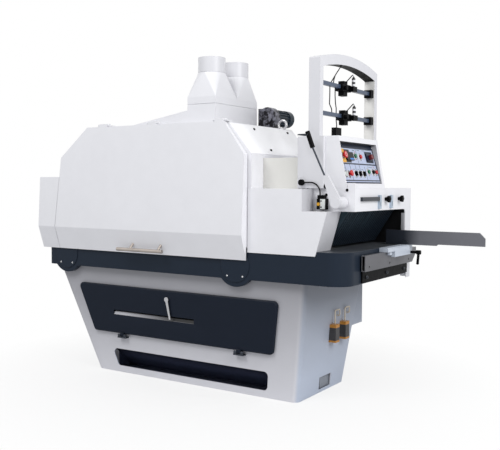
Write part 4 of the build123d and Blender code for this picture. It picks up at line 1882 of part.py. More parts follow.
def press_guide(x, y):
    """Guide rod that hangs from the roof of the saw housing."""
    under = ROOF_Z - HOUSING_SHEET
    foot_z = under - GUIDE_RADIUS
    foot = rod_z(x, y, GUIDE_RADIUS + GUIDE_FOOT, (foot_z, under + OVERCUT))
    return foot + rod_z(x, y, GUIDE_RADIUS, (PRESS_PLATE_Z + WORKING_GAP, foot_z + OVERCUT))


def pressure_roller(x):
    roller = rod_y(x, ROLLER_Z, ROLLER_RADIUS, grown((CHAIN_NEAR_Y, CHAIN_FAR_Y), -WORKING_GAP))
    return roller + rod_y(x, ROLLER_Z, ROLLER_PIN, grown(PRESS_SPAN, -OVERCUT))


def fixed_nodes():
    """Nodes of the standing frame by name."""
    return {
        "base_cabinet": [base_cabinet()] + [door_hinge(x) for x in door_hinge_xs()],
        "toe_tray": toe_tray(),
        "electric_box": electric_box(),
        "table_bed": table_bed(),
        "bearing_covers": bearing_covers(),
        "feed_chain": feed_chain(),
        "feed_gearmotor": feed_gearmotor(),
        "front_rail": [front_rail(), rail_mount()],
        "upper_housing": upper_housing(),
        "shoulder_panel": shoulder_panel(),
        "end_housing": end_housing(),
        "dust_hood": [dust_plenum()] + [dust_outlet(y, lean) for y, lean in zip(OUTLET_YS, OUTLET_LEANS)],
        "lift_motor": [lift_gearbox(), lift_motor()],
        "lifting_eye": lifting_eye(),
        "infeed_housing": infeed_housing(),
        "infeed_guard": infeed_guard(),
        "console_box": console_box(),
        "faceplate": [faceplate(), display(), estop_plate(), knob_plate()] + bezels(),
        "arch_frame": arch_frame(),
        "laser_mounts": laser_bars() + [laser_driver()] + laser_leads(),
        "limit_switch": [limit_switch(), switch_gland(), switch_lead(), side_plug()],
        "gauge_bars": gauge_bars() + star_posts(),
        "lube_units": lube_units() + lube_tubes(),
        "main_motor": main_motor(),
        "drive_belt": drive_belt(),
        "drive_cover": drive_cover(),
    }


def moving_nodes():
    """Nodes that turn or slide, by name."""
    nodes = {
        "base_door": [base_door(), door_grip()],
        "base_latch": base_latch(),
        "hood": hood(),
        "hood_handle": hood_handle(),
        "drive_shaft": chain_shaft(DRIVE_SHAFT_X),
        "idler_shaft": chain_shaft(IDLER_SHAFT_X),
        "saw_arbor": [saw_arbor(), pulley(ARBOR_Z, ARBOR_RADIUS)] + blade_spacers(),
        "saw_blades": saw_blades(),
        "motor_shaft": [motor_shaft(), pulley(MOTOR_Z, SHAFT_RADIUS)],
        "press_frames": [press_frame(middle) for name, middle in PRESSES],
        "fence_carriage": fence_carriage(),
        "fence_plate": fence_plate(),
        "clamp_lever": clamp_lever(),
        "hand_lever": [hand_lever(), lever_grip()],
        "lever_trigger": lever_trigger(),
        "kickback_fingers": [finger_shaft()] + kickback_fingers(),
        "estop": mushroom_button(ESTOP, ESTOP_RADIUS),
        "mushroom_stop": mushroom_button(MUSHROOM, MUSHROOM_RADIUS),
        "start_button": push_button(START_BUTTON),
        "stop_button": push_button(STOP_BUTTON),
        "speed_knob": speed_knob(),
        "selector_left": selector_knob(SELECTOR_LEFT),
    }
    for name, spot in SELECTORS:
        nodes[name] = selector_knob(spot)
    for name, spot in LOWER_BUTTONS:
        nodes[name] = push_button(spot)
    for name, rise, y in LASERS:
        nodes[name] = laser_head(rise, y)
    for name, y in STARS:
        nodes[name] = star_knob(y)
    for name, middle in PRESSES:
        nodes[f"roller_{name}"] = pressure_roller(middle)
    return nodes


def main():
    os.makedirs("parts", exist_ok=True)
    nodes = fixed_nodes() | moving_nodes()
    for name, shape in nodes.items():
        solids = shape if isinstance(shape, list) else [shape]
        node = solids[0] if len(solids) == 1 else Compound(children=list(solids))
        node.label = name
        export_step(node, f"parts/{name}.step")


main()
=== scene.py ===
"""Looks of a multi-rip saw: finishes, fasteners, fittings and stage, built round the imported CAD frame."""

import json
import math

import bmesh
import bpy
from bpy.props import FloatProperty, FloatVectorProperty, PointerProperty
from bpy.types import Operator, Panel, PropertyGroup
from mathutils import Matrix, Vector
from mathutils.bvhtree import BVHTree

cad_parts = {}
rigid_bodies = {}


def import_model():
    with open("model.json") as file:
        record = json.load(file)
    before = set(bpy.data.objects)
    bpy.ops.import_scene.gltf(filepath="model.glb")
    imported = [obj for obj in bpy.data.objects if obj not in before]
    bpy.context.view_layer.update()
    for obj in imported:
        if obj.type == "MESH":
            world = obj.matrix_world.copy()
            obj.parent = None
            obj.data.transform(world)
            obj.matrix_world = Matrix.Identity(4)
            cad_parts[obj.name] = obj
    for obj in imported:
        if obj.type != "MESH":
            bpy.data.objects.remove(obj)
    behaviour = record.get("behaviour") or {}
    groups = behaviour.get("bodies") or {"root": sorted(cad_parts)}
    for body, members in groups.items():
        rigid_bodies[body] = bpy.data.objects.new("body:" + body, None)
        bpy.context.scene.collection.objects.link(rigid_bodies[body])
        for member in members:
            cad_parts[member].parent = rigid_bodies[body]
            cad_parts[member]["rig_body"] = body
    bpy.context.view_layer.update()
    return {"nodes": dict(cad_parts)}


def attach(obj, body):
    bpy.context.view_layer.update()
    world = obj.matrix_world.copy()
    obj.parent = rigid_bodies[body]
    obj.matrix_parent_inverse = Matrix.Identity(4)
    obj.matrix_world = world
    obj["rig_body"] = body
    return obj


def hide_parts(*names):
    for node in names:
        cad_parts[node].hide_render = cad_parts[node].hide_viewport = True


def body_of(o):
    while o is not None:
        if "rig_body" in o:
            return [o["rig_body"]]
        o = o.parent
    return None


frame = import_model()

bl_info = {
    "name": "Multi-rip saw looks",
    "version": (1, 0, 0),
    "blender": (4, 5, 0),
    "location": "View3D > Sidebar > Rip saw",
    "description": "Finishes, fasteners, fittings and stage of a multi-rip saw",
    "category": "Object",
}


# Properties


def colour_of(name, description, default):
    """A colour property, in linear light."""
    return FloatVectorProperty(
        name=name, description=description, subtype="COLOR", size=3, min=0.0, max=1.0, default=default
    )


def length_of(name, description, default):
    """A length property, in metres."""
    return FloatProperty(
        name=name, description=description, subtype="DISTANCE", unit="LENGTH", min=0.0, default=default
    )


def share_of(name, description, default):
    """A property between nothing and one."""
    return FloatProperty(name=name, description=description, subtype="FACTOR", min=0.0, max=1.0, default=default)


def angle_of(name, description, degrees):
    """An angle property, with its default in degrees."""
    return FloatProperty(
        name=name, description=description, subtype="ANGLE", unit="ROTATION", default=math.radians(degrees)
    )


def power_of(name, description, default):
    """A lamp's power, in watts."""
    return FloatProperty(name=name, description=description, subtype="POWER", unit="POWER", min=0.0, default=default)


class SawColours(PropertyGroup):
    """Colours and wear of the saw's finishes, with painted light and shade on some of them"""

    white_paint: colour_of("White paint", "Powder coat of the hood and housings", (0.80, 0.80, 0.83))
    # Pale paint edge is partly rubbed paint and partly a painted highlight along the edges.
    pale_edge: colour_of("Pale paint edge", "Rubbed paint along the edges of pale sheet", (0.88, 0.88, 0.90))
    # Painted light: the shoulder panel is painted whiter than the white paint.
    shoulder_painted_light: colour_of("Shoulder paint", "Cleaner white of the shoulder panel", (0.95, 0.95, 0.97))
    cream_plate: colour_of("Cream plate", "Creamier paint of the plate beside the hood", (0.715, 0.708, 0.672))
    # Guard shade is painted shade on the guard's slanted end.
    guard_shade: colour_of("Guard shade", "Greyer paint of the guard's slanted end", (0.57, 0.57, 0.60))
    arch_paint: colour_of("Arch paint", "Slightly greyer white of the arch and the lever", (0.70, 0.70, 0.73))
    # Arch inside is painted shade under the arch's top.
    arch_shade: colour_of("Arch inside", "Dark inside of the arch's top", (0.004, 0.004, 0.003))
    # Painted light: the inner face of the arch's far leg is painted paler than the arch paint.
    leg_shade: colour_of("Leg inside", "Inner face of the arch's far leg", (0.80, 0.79, 0.76))
    base_paint: colour_of("Base paint", "Powder coat of the base cabinet", (0.52, 0.52, 0.57))
    # Base foot is painted light at the foot of the near wall, and base upper is painted shade high on that wall under
    # the bed.
    base_foot: colour_of("Base foot", "Cleaner paint at the foot of the near wall", (0.66, 0.66, 0.70))
    base_upper: colour_of("Base upper", "Dustier paint of the near wall under the bed", (0.32, 0.32, 0.345))
    base_end: colour_of("Base end", "Bluer tone of the base at its infeed end", (0.47, 0.52, 0.62))
    # Base shade is painted shade on the base's infeed end, high up under the bed.
    base_shade: colour_of("Base shade", "Dirtier paint of the base end under the bed", (0.20, 0.21, 0.24))
    hole_plate: colour_of("Hole plate", "Grey of the plate behind the cable hole", (0.239, 0.258, 0.294))
    # Tray paint is the tray's navy, made lighter as painted light because the tray lies in shade.
    tray_paint: colour_of("Tray paint", "Navy paint of the toe tray", (0.060, 0.070, 0.120))
    dark_paint: colour_of("Dark paint", "Blue-black paint of the base door", (0.0102, 0.0145, 0.0245))
    bed_paint: colour_of("Bed paint", "Navy paint of the bed", (0.0140, 0.0215, 0.0350))
    # Dark paint edge is partly thin paint and partly a painted highlight along the edges.
    dark_edge: colour_of("Dark paint edge", "Thin paint along the edges of dark sheet", (0.030, 0.038, 0.055))
    table_steel: colour_of("Table steel", "Oiled top of the bed", (0.048, 0.055, 0.067))
    inside_dark: colour_of("Inside", "Unlit inner faces of the infeed", (0.004, 0.004, 0.005))
    recess_shade: colour_of("Recess", "Shaded top wall round the control panel", (0.045, 0.045, 0.048))
    recess_side: colour_of("Recess side", "Shaded side walls and plates", (0.46, 0.46, 0.49))
    motor_paint: colour_of("Motor paint", "Blue-green enamel of the motors", (0.010, 0.023, 0.037))
    gear_paint: colour_of("Gear case paint", "Purple-grey skin of the lift gear case", (0.22, 0.22, 0.26))
    gear_dark: colour_of("Gear case stain", "Dark oily patches on that skin", (0.012, 0.011, 0.014))
    finger_paint: colour_of("Finger paint", "Blackened steel of the fingers", (0.011, 0.017, 0.026))
    # Finger sheen is a painted sheen, high on the nearer fingers.
    finger_sheen: colour_of("Finger sheen", "Teal sheen high on the nearer fingers", (0.046, 0.078, 0.095))
    bar_paint: colour_of("Bar paint", "Slate blue of the laser bars", (0.053, 0.076, 0.125))
    carriage: colour_of("Carriage paint", "Light blue-grey paint of the fence carriage", (0.54, 0.59, 0.67))
    ground_steel: colour_of("Ground steel", "Ground faces of the rail and the stop bars", (0.20, 0.20, 0.215))
    stop_steel: colour_of("Stop steel", "Bluish steel of the gauge's stop bars", (0.46, 0.54, 0.63))
    fence_steel: colour_of("Fence steel", "Dull grey of the fence plate", (0.140, 0.142, 0.158))
    handle_steel: colour_of("Handle steel", "Brownish steel of the hood's pull bar", (0.46, 0.41, 0.37))
    dark_steel: colour_of("Dark steel", "Oiled and blackened steel", (0.050, 0.056, 0.068))
    bright_steel: colour_of("Bright steel", "Polished shafts, blades and screws", (0.62, 0.62, 0.63))
    cast_iron: colour_of("Cast iron", "Bare cast faces", (0.12, 0.12, 0.125))
    panel_face: colour_of("Panel face", "Lavender print of the control panel", (0.47, 0.53, 0.70))
    panel_navy: colour_of("Panel frame", "Navy frame and lines printed on the panel", (0.007, 0.013, 0.034))
    panel_mark: colour_of("Panel marks", "Small grey-green marks printed on the panel", (0.16, 0.22, 0.25))
    screen_strip: colour_of("Screen strip", "Lit blue strip of the display", (0.05, 0.22, 0.62))
    black_plastic: colour_of("Black plastic", "Moulded knobs, grips and boxes", (0.0025, 0.0025, 0.003))
    red_plastic: colour_of("Red plastic", "Emergency stop and stop buttons", (0.52, 0.008, 0.012))
    dark_red: colour_of("Dark red plastic", "Speed knob", (0.14, 0.008, 0.014))
    green_plastic: colour_of("Green plastic", "Start button", (0.012, 0.16, 0.075))
    yellow_plate: colour_of("Yellow plate", "Plate behind the emergency stop", (0.72, 0.36, 0.015))
    orange_plastic: colour_of("Orange plastic", "Caps of the lubricators", (0.46, 0.20, 0.030))
    lubricator: colour_of("Lubricator body", "Grey middle of the lubricators", (0.045, 0.043, 0.043))
    hose: colour_of("Oil tube", "Beige oil tube of the lubricators", (0.55, 0.48, 0.38))
    rubber: colour_of("Rubber", "Belt, roller covers and leads", (0.014, 0.014, 0.015))
    switch_body: colour_of("Pale plastic", "Cover of the limit switch and the pale selector", (0.72, 0.75, 0.73))
    dust: colour_of("Dust", "Fine wood dust that settles on upper faces", (0.60, 0.54, 0.44))
    dust_amount: share_of("Dust amount", "How much dust lies on faces that look up", 0.06)
    # Edge wear also sets how strong the painted highlight along the edges of painted sheet is.
    wear_amount: share_of("Edge wear", "How much the edges show wear", 0.35)


class SawFittings(PropertyGroup):
    """Sizes of small fasteners and fittings"""

    bed_bolt: length_of("Bed bolt", "Head radius of the bolts in the bearing lobes", 0.004)
    panel_screw: length_of("Panel screw", "Head radius of the screws in sheet panels", 0.006)
    rail_bolt: length_of("Rail bolt", "Head radius of the bolts in the rail mount", 0.008)
    face_screw: length_of("Faceplate screw", "Head radius of the screws in the control panel", 0.0035)
    cover_screw: length_of("Cover screw", "Head radius of the screws in the limit switch's cover", 0.003)
    control_ring: length_of("Control ring", "Radius of the bright rings round the controls", 0.0180)
    ring_wire: length_of("Ring thickness", "Half the thickness of those rings", 0.0042)


class SawStage(PropertyGroup):
    """Camera, lights and floor"""

    camera_place: FloatVectorProperty(
        name="Camera place", description="Where the camera stands", subtype="TRANSLATION", unit="LENGTH",
        size=3, default=(2.729, -3.921, 1.2)
    )
    camera_yaw: angle_of("Camera yaw", "Turn to the left of the table's long side", 32.42)
    camera_tilt: angle_of("Camera tilt", "Tilt below the horizon", 3.01)
    camera_roll: angle_of("Camera roll", "Turn about the line of sight", 0.36)
    lens: FloatProperty(
        name="Lens", description="Focal length on a 36 mm sensor", subtype="DISTANCE_CAMERA", unit="CAMERA",
        min=1.0, default=54.70
    )
    key_power: power_of("Key light", "Power of the large lamp at the upper left", 215.0)
    fill_power: power_of("Fill light", "Power of the large lamp at the right", 160.0)
    sky_strength: FloatProperty(
        name="Room light", description="Strength of the even light of the room", min=0.0, default=0.42
    )
    floor_size: length_of("Floor size", "Side of the square floor", 14.0)


# Node trees


class Tree:
    """A node tree that is being written, with short calls that add nodes and join their sockets."""

    def __init__(self, tree):
        self.tree = tree

    def add(self, kind, inputs=None, **settings):
        """A new node with its settings, and its inputs set or joined by name or number."""
        node = self.tree.nodes.new(kind)
        for key, value in settings.items():
            setattr(node, key, value)
        for key, value in (inputs or {}).items():
            self.feed(node.inputs[key], value)
        return node

    def feed(self, socket, value):
        """Joins a socket to another one, or sets its value."""
        if isinstance(value, bpy.types.NodeSocket):
            self.tree.links.new(value, socket)
        else:
            socket.default_value = value

    def math(self, operation, first, second=0.0):
        """The result of a Math node."""
        return self.add("ShaderNodeMath", {0: first, 1: second}, operation=operation).outputs[0]

    def vector(self, operation, first, second=(0.0, 0.0, 0.0)):
        """The vector that a Vector Math node gives."""
        return self.add("ShaderNodeVectorMath", {0: first, 1: second}, operation=operation).outputs[0]

    def measure(self, operation, first, second=(0.0, 0.0, 0.0)):
        """The number that a Vector Math node gives."""
        return self.add("ShaderNodeVectorMath", {0: first, 1: second}, operation=operation).outputs["Value"]

    def product(self, first, *others):
        """Values multiplied together."""
        for other in others:
            first = self.math("MULTIPLY", first, other)
        return first

    def swing(self, value, middle, share):
        """How far a value is from its middle, times a share."""
        return self.product(self.math("SUBTRACT", value, middle), share)

    def weighed(self, first, first_share, second, second_share, more):
        """Two values by their shares, and a constant more."""
        both = self.math("ADD", self.product(first, first_share), self.product(second, second_share))
        return self.math("ADD", both, more)

    def ranged(self, value, low, high, to_low=0.0, to_high=1.0):
        """A value moved from one range into another and held there."""
        node = self.add("ShaderNodeMapRange", {0: value, 1: low, 2: high, 3: to_low, 4: to_high}, clamp=True)
        return node.outputs[0]

    def mixed(self, factor, first, second, blend="MIX"):
        """Two colours mixed by a factor."""
        node = self.add("ShaderNodeMix", data_type="RGBA", blend_type=blend)
        for number, value in ((0, factor), (6, first), (7, second)):
            self.feed(node.inputs[number], value)
        return node.outputs[2]

    def noise(self, vector, scale, detail=3.0, roughness=0.55):
        """A noise value between nothing and one."""
        inputs = {"Vector": vector, "Scale": scale, "Detail": detail, "Roughness": roughness}
        return self.add("ShaderNodeTexNoise", inputs).outputs[0]

    def part(self, vector, axis):
        """One part of a vector."""
        return self.add("ShaderNodeSeparateXYZ", {0: vector}).outputs[axis]

    def place(self):
        """Object coordinates."""
        return self.add("ShaderNodeTexCoord").outputs["Object"]

    def spot(self, axis):
        """Place along an axis."""
        return self.part(self.place(), axis)

    def look(self, axis):
        """How far a face looks along an axis."""
        return self.part(self.add("ShaderNodeTexCoord").outputs["Normal"], axis)

    def along(self, axis, start, end, low=0.0, high=1.0):
        """A mask that changes between two places along an axis."""
        return self.ranged(self.spot(axis), start, end, low, high)

    def facing(self, axis, start, end):
        """A mask of faces by how far they look along an axis."""
        return self.ranged(self.look(axis), start, end)

    def band(self, value, low, high):
        """A mask of the values between two ends."""
        above = self.ranged(value, low - BLUR, low + BLUR)
        return self.product(above, self.ranged(value, high + BLUR, high - BLUR))

    def group(self, name, inputs):
        """A copy of a shader group in this tree."""
        return self.add("ShaderNodeGroup", inputs, node_tree=bpy.data.node_groups[name]).outputs


# Half the width of a sharp and of a softer change of colour, in metres
BLUR = 0.0005
SOFT = 0.001
WHITE = (1.0, 1.0, 1.0, 1.0)
COLOUR = "NodeSocketColor"
VALUE = "NodeSocketFloat"
VECTOR = "NodeSocketVector"


def rgba(colour):
    """A colour with full cover."""
    return (*colour, 1.0)


def new_group(name, inputs, outputs):
    """An empty shader group with named sockets: its tree, its inputs and its output node."""
    group = bpy.data.node_groups.new(name, "ShaderNodeTree")
    for direction, sockets in (("INPUT", inputs), ("OUTPUT", outputs)):
        for label, kind, default in sockets:
            socket = group.interface.new_socket(label, in_out=direction, socket_type=kind)
            if default is not None:
                socket.default_value = default
    tree = Tree(group)
    return tree, tree.add("NodeGroupInput").outputs, tree.add("NodeGroupOutput").inputs


def new_skin(name, roughness, *more):
    """A shader group of a surface: a colour and a roughness, changed over the surface, and a height."""
    return new_group(
        name,
        (("Colour", COLOUR, None), ("Roughness", VALUE, roughness), *more),
        (("Colour", COLOUR, None), ("Roughness", VALUE, None), ("Height", VALUE, None)),
    )


def end_skin(tree, given, made, tone, gloss, height):
    """Ends such a group: the colour times a tone, the roughness and a gloss change, and the height."""
    tree.feed(made["Colour"], tree.mixed(1.0, given["Colour"], tone, "MULTIPLY"))
    tree.feed(made["Roughness"], tree.math("ADD", given["Roughness"], gloss))
    tree.feed(made["Height"], height)


def make_paint_skin():
    """Powder coat: slow tone drift, an orange-peel surface and uneven gloss."""
    tree, given, made = new_skin("paint_skin", 0.4, ("Drift", VALUE, 0.06), ("Peel", VALUE, 340.0))
    place = tree.place()
    slow = tree.noise(place, 1.7, 2.0)
    middle = tree.noise(place, 11.0, 4.0)
    tone = tree.math("ADD", tree.swing(tree.math("ADD", slow, middle), 1.0, given["Drift"]), 1.0)
    end_skin(tree, given, made, tone, tree.swing(middle, 0.5, 0.16), tree.noise(place, given["Peel"], 2.0))


def make_brushed():
    """Ground or turned metal: fine lines along one direction, stains and uneven gloss."""
    tree, given, made = new_skin("brushed", 0.35, ("Stretch", VECTOR, (4.0, 400.0, 400.0)))
    place = tree.place()
    lines = tree.noise(tree.vector("MULTIPLY", place, given["Stretch"]), 1.0, 3.0, 0.6)
    stains = tree.noise(place, 9.0, 5.0, 0.62)
    tone = tree.weighed(lines, 0.30, stains, 0.40, 0.65)
    end_skin(tree, given, made, tone, tree.weighed(lines, 0.18, stains, 0.14, -0.16), lines)


def make_moulded():
    """Moulded plastic or rubber: a fine spark-eroded grain and slow gloss change."""
    tree, given, made = new_skin("moulded", 0.4, ("Grain", VALUE, 900.0))
    place = tree.place()
    grain = tree.noise(place, given["Grain"], 2.0, 0.5)
    slow = tree.noise(place, 26.0, 3.0)
    tone = tree.weighed(slow, 0.24, grain, 0.16, 0.80)
    end_skin(tree, given, made, tone, tree.swing(slow, 0.5, 0.22), grain)


def make_cast_skin():
    """Cast iron: a sandy surface with darker pits."""
    tree, given, made = new_skin("cast_skin", 0.5, ("Sand", VALUE, 420.0))
    place = tree.place()
    sand = tree.noise(place, given["Sand"], 3.0, 0.7)
    slow = tree.noise(place, 14.0, 4.0)
    tone = tree.weighed(sand, 0.34, slow, 0.30, 0.68)
    end_skin(tree, given, made, tone, tree.swing(sand, 0.5, 0.20), sand)


def make_settled_dust():
    """Fine dust on faces that look up, in soft patches."""
    tree, given, made = new_group(
        "settled_dust",
        (("Colour", COLOUR, None), ("Dust", COLOUR, None), ("Amount", VALUE, 0.1)),
        (("Colour", COLOUR, None),),
    )
    patches = tree.ranged(tree.noise(tree.place(), 7.0, 6.0, 0.65), 0.38, 0.72, 0.15, 1.0)
    mask = tree.product(tree.facing(2, 0.35, 0.95), patches, given["Amount"])
    tree.feed(made["Colour"], tree.mixed(mask, given["Colour"], given["Dust"]))


def make_edge_wear():
    """Thin or rubbed finish along edges, with a painted highlight there on painted sheet, found by rounding the
    surface's normal, and that rounded normal.
    """
    tree, given, made = new_group(
        "edge_wear",
        (("Colour", COLOUR, None), ("Bare", COLOUR, None), ("Amount", VALUE, 0.3), ("Radius", VALUE, 0.003)),
        (("Colour", COLOUR, None), ("Normal", VECTOR, None)),
    )
    rounded = tree.add("ShaderNodeBevel", {"Radius": given["Radius"]}, samples=4).outputs[0]
    flat = tree.add("ShaderNodeNewGeometry").outputs["Normal"]
    edge = tree.ranged(tree.measure("DOT_PRODUCT", rounded, flat), 0.985, 0.80)
    broken = tree.ranged(tree.noise(tree.place(), 45.0, 5.0, 0.7), 0.30, 0.70, 0.25, 1.0)
    mask = tree.product(edge, broken, given["Amount"])
    tree.feed(made["Colour"], tree.mixed(mask, given["Colour"], given["Bare"]))
    tree.feed(made["Normal"], rounded)


# Faceplate of the console: its slope, and its foot in side view
PANEL_SLOPE = math.radians(17.685)
PANEL_FOOT = Vector((0.973198, 0.0, 1.211789))
PANEL_UP = Vector((-math.sin(PANEL_SLOPE), 0.0, math.cos(PANEL_SLOPE)))
PANEL_OUT = Vector((math.cos(PANEL_SLOPE), 0.0, math.sin(PANEL_SLOPE)))
# Half the width of a printed edge, in metres
PRINT_BLUR = 0.0004


def make_panel_place():
    """Places on the faceplate: across it, and up it from its foot."""
    tree, given, made = new_group("panel_place", (), (("Place", VECTOR, None),))
    place = tree.place()
    up = tree.math("SUBTRACT", tree.measure("DOT_PRODUCT", place, PANEL_UP), PANEL_FOOT.dot(PANEL_UP))
    tree.feed(made["Place"], tree.add("ShaderNodeCombineXYZ", {0: tree.part(place, 1), 1: up}).outputs[0])


def make_print_box():
    """Mask of a printed box, by its middle and its half sizes."""
    tree, given, made = new_group(
        "print_box",
        (("Place", VECTOR, None), ("Middle", VECTOR, None), ("Half", VECTOR, None)),
        (("Mask", VALUE, None),),
    )
    apart = tree.vector("ABSOLUTE", tree.vector("SUBTRACT", given["Place"], given["Middle"]))
    inside = tree.vector("SUBTRACT", given["Half"], apart)
    nearest = tree.math("MINIMUM", tree.part(inside, 0), tree.part(inside, 1))
    tree.feed(made["Mask"], tree.ranged(nearest, -PRINT_BLUR, PRINT_BLUR))


def make_print_ring():
    """Mask of a printed ring, by its middle, its radius and half its width."""
    tree, given, made = new_group(
        "print_ring",
        (("Place", VECTOR, None), ("Middle", VECTOR, None), ("Radius", VALUE, 0.02), ("Half", VALUE, 0.001)),
        (("Mask", VALUE, None),),
    )
    away = tree.measure("DISTANCE", given["Place"], given["Middle"])
    apart = tree.math("ABSOLUTE", tree.math("SUBTRACT", away, given["Radius"]))
    tree.feed(made["Mask"], tree.ranged(tree.math("SUBTRACT", given["Half"], apart), -PRINT_BLUR, PRINT_BLUR))


# Colours that change over a piece: each takes the tree and a call that gives a colour by its name


def bed_colour(tree, ink):
    """Dark paint with an oiled steel top."""
    return tree.mixed(tree.facing(2, 0.75, 0.95), ink("bed_paint"), ink("table_steel"))


def base_colour(tree, ink):
    """Grey paint, with painted light at the foot and painted shade under the bed on the near wall, bluer with painted
    shade under the bed at the infeed end, and a navy floor inside.
    """
    wall = tree.mixed(tree.along(2, 0.02, 0.62), ink("base_foot"), ink("base_upper"))
    sides = tree.mixed(tree.facing(1, -0.4, -0.8), ink("base_paint"), wall)
    end = tree.mixed(tree.along(2, 0.12, 0.66, 0.0, 0.95), ink("base_end"), ink("base_shade"))
    outside = tree.mixed(tree.facing(0, 0.4, 0.8), sides, end)
    floor = tree.product(tree.facing(2, 0.7, 0.9), tree.along(2, 0.035, 0.025))
    return tree.mixed(floor, outside, ink("tray_paint"))


# Infeed housing, in metres: the box of its unlit inside, which is painted shade, the post of its mouth, and the end
# of its cream plate
INFEED_INSIDE = ((0.0, 1.0205), (-0.2005, 0.5625), (0.8, 1.1845))
MOUTH_POST_X = 1.0025
MOUTH_POST_Y = (0.536, 0.5425)
CREAM_PLATE_END = 0.70


def infeed_colour(tree, ink):
    """White paint outside, creamier beside the hood, and unlit inner faces round the tunnel."""
    inside = tree.product(*[tree.band(tree.spot(axis), *ends) for axis, ends in enumerate(INFEED_INSIDE)])
    front = tree.along(0, MOUTH_POST_X - BLUR, MOUTH_POST_X + BLUR)
    post = tree.product(tree.band(tree.spot(1), *MOUTH_POST_Y), front)
    dark = tree.mixed(post, ink("inside_dark"), ink("recess_side"))
    beside = tree.along(0, CREAM_PLATE_END + SOFT, CREAM_PLATE_END - SOFT)
    plate = tree.product(tree.facing(1, -0.6, -0.8), beside)
    outside = tree.mixed(plate, ink("white_paint"), ink("cream_plate"))
    return tree.mixed(inside, outside, dark)


COLLAR_FOOT = 1.881


def duct_colour(tree, ink):
    """White paint, greyer on the round collars."""
    collar = tree.along(2, COLLAR_FOOT - SOFT, COLLAR_FOOT + SOFT)
    return tree.mixed(collar, ink("white_paint"), ink("arch_paint"))


def guard_colour(tree, ink):
    """White paint, with painted shade on the slanted end."""
    return tree.mixed(tree.facing(0, 0.5, 0.8), ink("white_paint"), ink("guard_shade"))


def finger_colour(tree, ink):
    """Blackened steel with a painted teal sheen on the nearer fingers, a little different on each."""
    across = tree.add("ShaderNodeCombineXYZ", {"Y": tree.spot(1)}).outputs[0]
    each = tree.ranged(tree.noise(across, 42.0, 1.0), 0.40, 0.62, 0.15, 1.0)
    sheen = tree.product(tree.along(2, 0.92, 1.08), tree.along(1, 0.36, 0.16), each)
    return tree.mixed(sheen, ink("finger_paint"), ink("finger_sheen"))


def arch_colour(tree, ink):
    """White paint, with mottled painted shade inside the top and painted light on the inner face of the far leg."""
    mottle = tree.ranged(tree.noise(tree.place(), 16.0, 3.0), 0.48, 0.70, 0.0, 0.05)
    inside = tree.mixed(mottle, ink("arch_shade"), ink("leg_shade"))
    leg = tree.product(tree.facing(1, -0.85, -0.95), tree.along(1, 0.40, 0.41))
    outside = tree.mixed(leg, ink("arch_paint"), ink("leg_shade"))
    crown = tree.product(tree.facing(2, -0.30, -0.50), tree.along(2, 1.80, 1.81))
    return tree.mixed(crown, outside, inside)


def fence_colour(tree, ink):
    """Grey steel with painted shade that darkens it towards its inner end."""
    return tree.mixed(tree.along(0, 1.16, 1.06, 0.0, 0.95), ink("fence_steel"), ink("dark_paint"))


RECESS_Z = (1.24, 1.466)


def console_colour(tree, ink):
    """White paint with a shaded recess round the control panel."""
    level = tree.band(tree.spot(2), *RECESS_Z)
    roof = tree.product(level, tree.facing(2, -0.5, -0.7))
    inner = tree.product(level, tree.facing(1, -0.7, -0.9), tree.along(1, 0.2, 0.21))
    side = tree.product(inner, tree.along(2, 1.28, 1.44, 0.2, 1.0))
    return tree.mixed(roof, tree.mixed(side, ink("white_paint"), ink("recess_side")), ink("recess_shade"))


TRAY_CHEEK_Y = -0.215


def tray_colour(tree, ink):
    """Navy slope that darkens into painted shade higher up, with pale cheeks near the front lightened by painted
    light.
    """
    slope = tree.mixed(tree.along(2, 0.085, 0.140), ink("tray_paint"), ink("inside_dark"))
    cheek = tree.ranged(tree.math("ABSOLUTE", tree.look(0)), 0.6, 0.9)
    front = tree.along(1, TRAY_CHEEK_Y + 0.003, TRAY_CHEEK_Y - 0.003)
    return tree.mixed(tree.product(cheek, front), slope, ink("arch_paint"))


def grip_colour(tree, ink):
    """Pale lip of the door's slot, lost in shade towards the far end."""
    shade = tree.product(tree.along(0, -0.50, -0.10), tree.along(2, 0.366, 0.374))
    return tree.mixed(shade, ink("recess_side"), ink("inside_dark"))


def ring_colour(tree, ink):
    """Painted reflection of a bright ring: white on its near side, falling into painted shade on its far side."""
    return tree.mixed(tree.facing(1, 0.10, -0.30), ink("inside_dark"), ink("white_paint"))


def gear_colour(tree, ink):
    """Purple-grey skin with dark oily patches."""
    stain = tree.ranged(tree.noise(tree.place(), 34.0, 4.0, 0.6), 0.42, 0.56)
    return tree.mixed(stain, ink("gear_paint"), ink("gear_dark"))


LUBRICATOR_BAND = (0.2965, 0.3715)


def lubricator_colour(tree, ink):
    """Orange ends and a dark middle."""
    return tree.mixed(tree.band(tree.spot(2), *LUBRICATOR_BAND), ink("orange_plastic"), ink("lubricator"))


# Laser tubes, in metres: the lower bar's height, the rise to the upper one, and the dark bands above a bar
LOWER_BAR_Z = 1.603
BAR_STEP = 0.167
LASER_BANDS = ((0.024, 0.036), (0.048, 0.070))


def laser_colour(tree, ink):
    """White tube with a black band and a black cap, the same on both bars."""
    rise = tree.math("MODULO", tree.math("SUBTRACT", tree.spot(2), LOWER_BAR_Z), BAR_STEP)
    colour = ink("white_paint")
    for ends in LASER_BANDS:
        colour = tree.mixed(tree.band(rise, *ends), colour, ink("black_plastic"))
    return colour


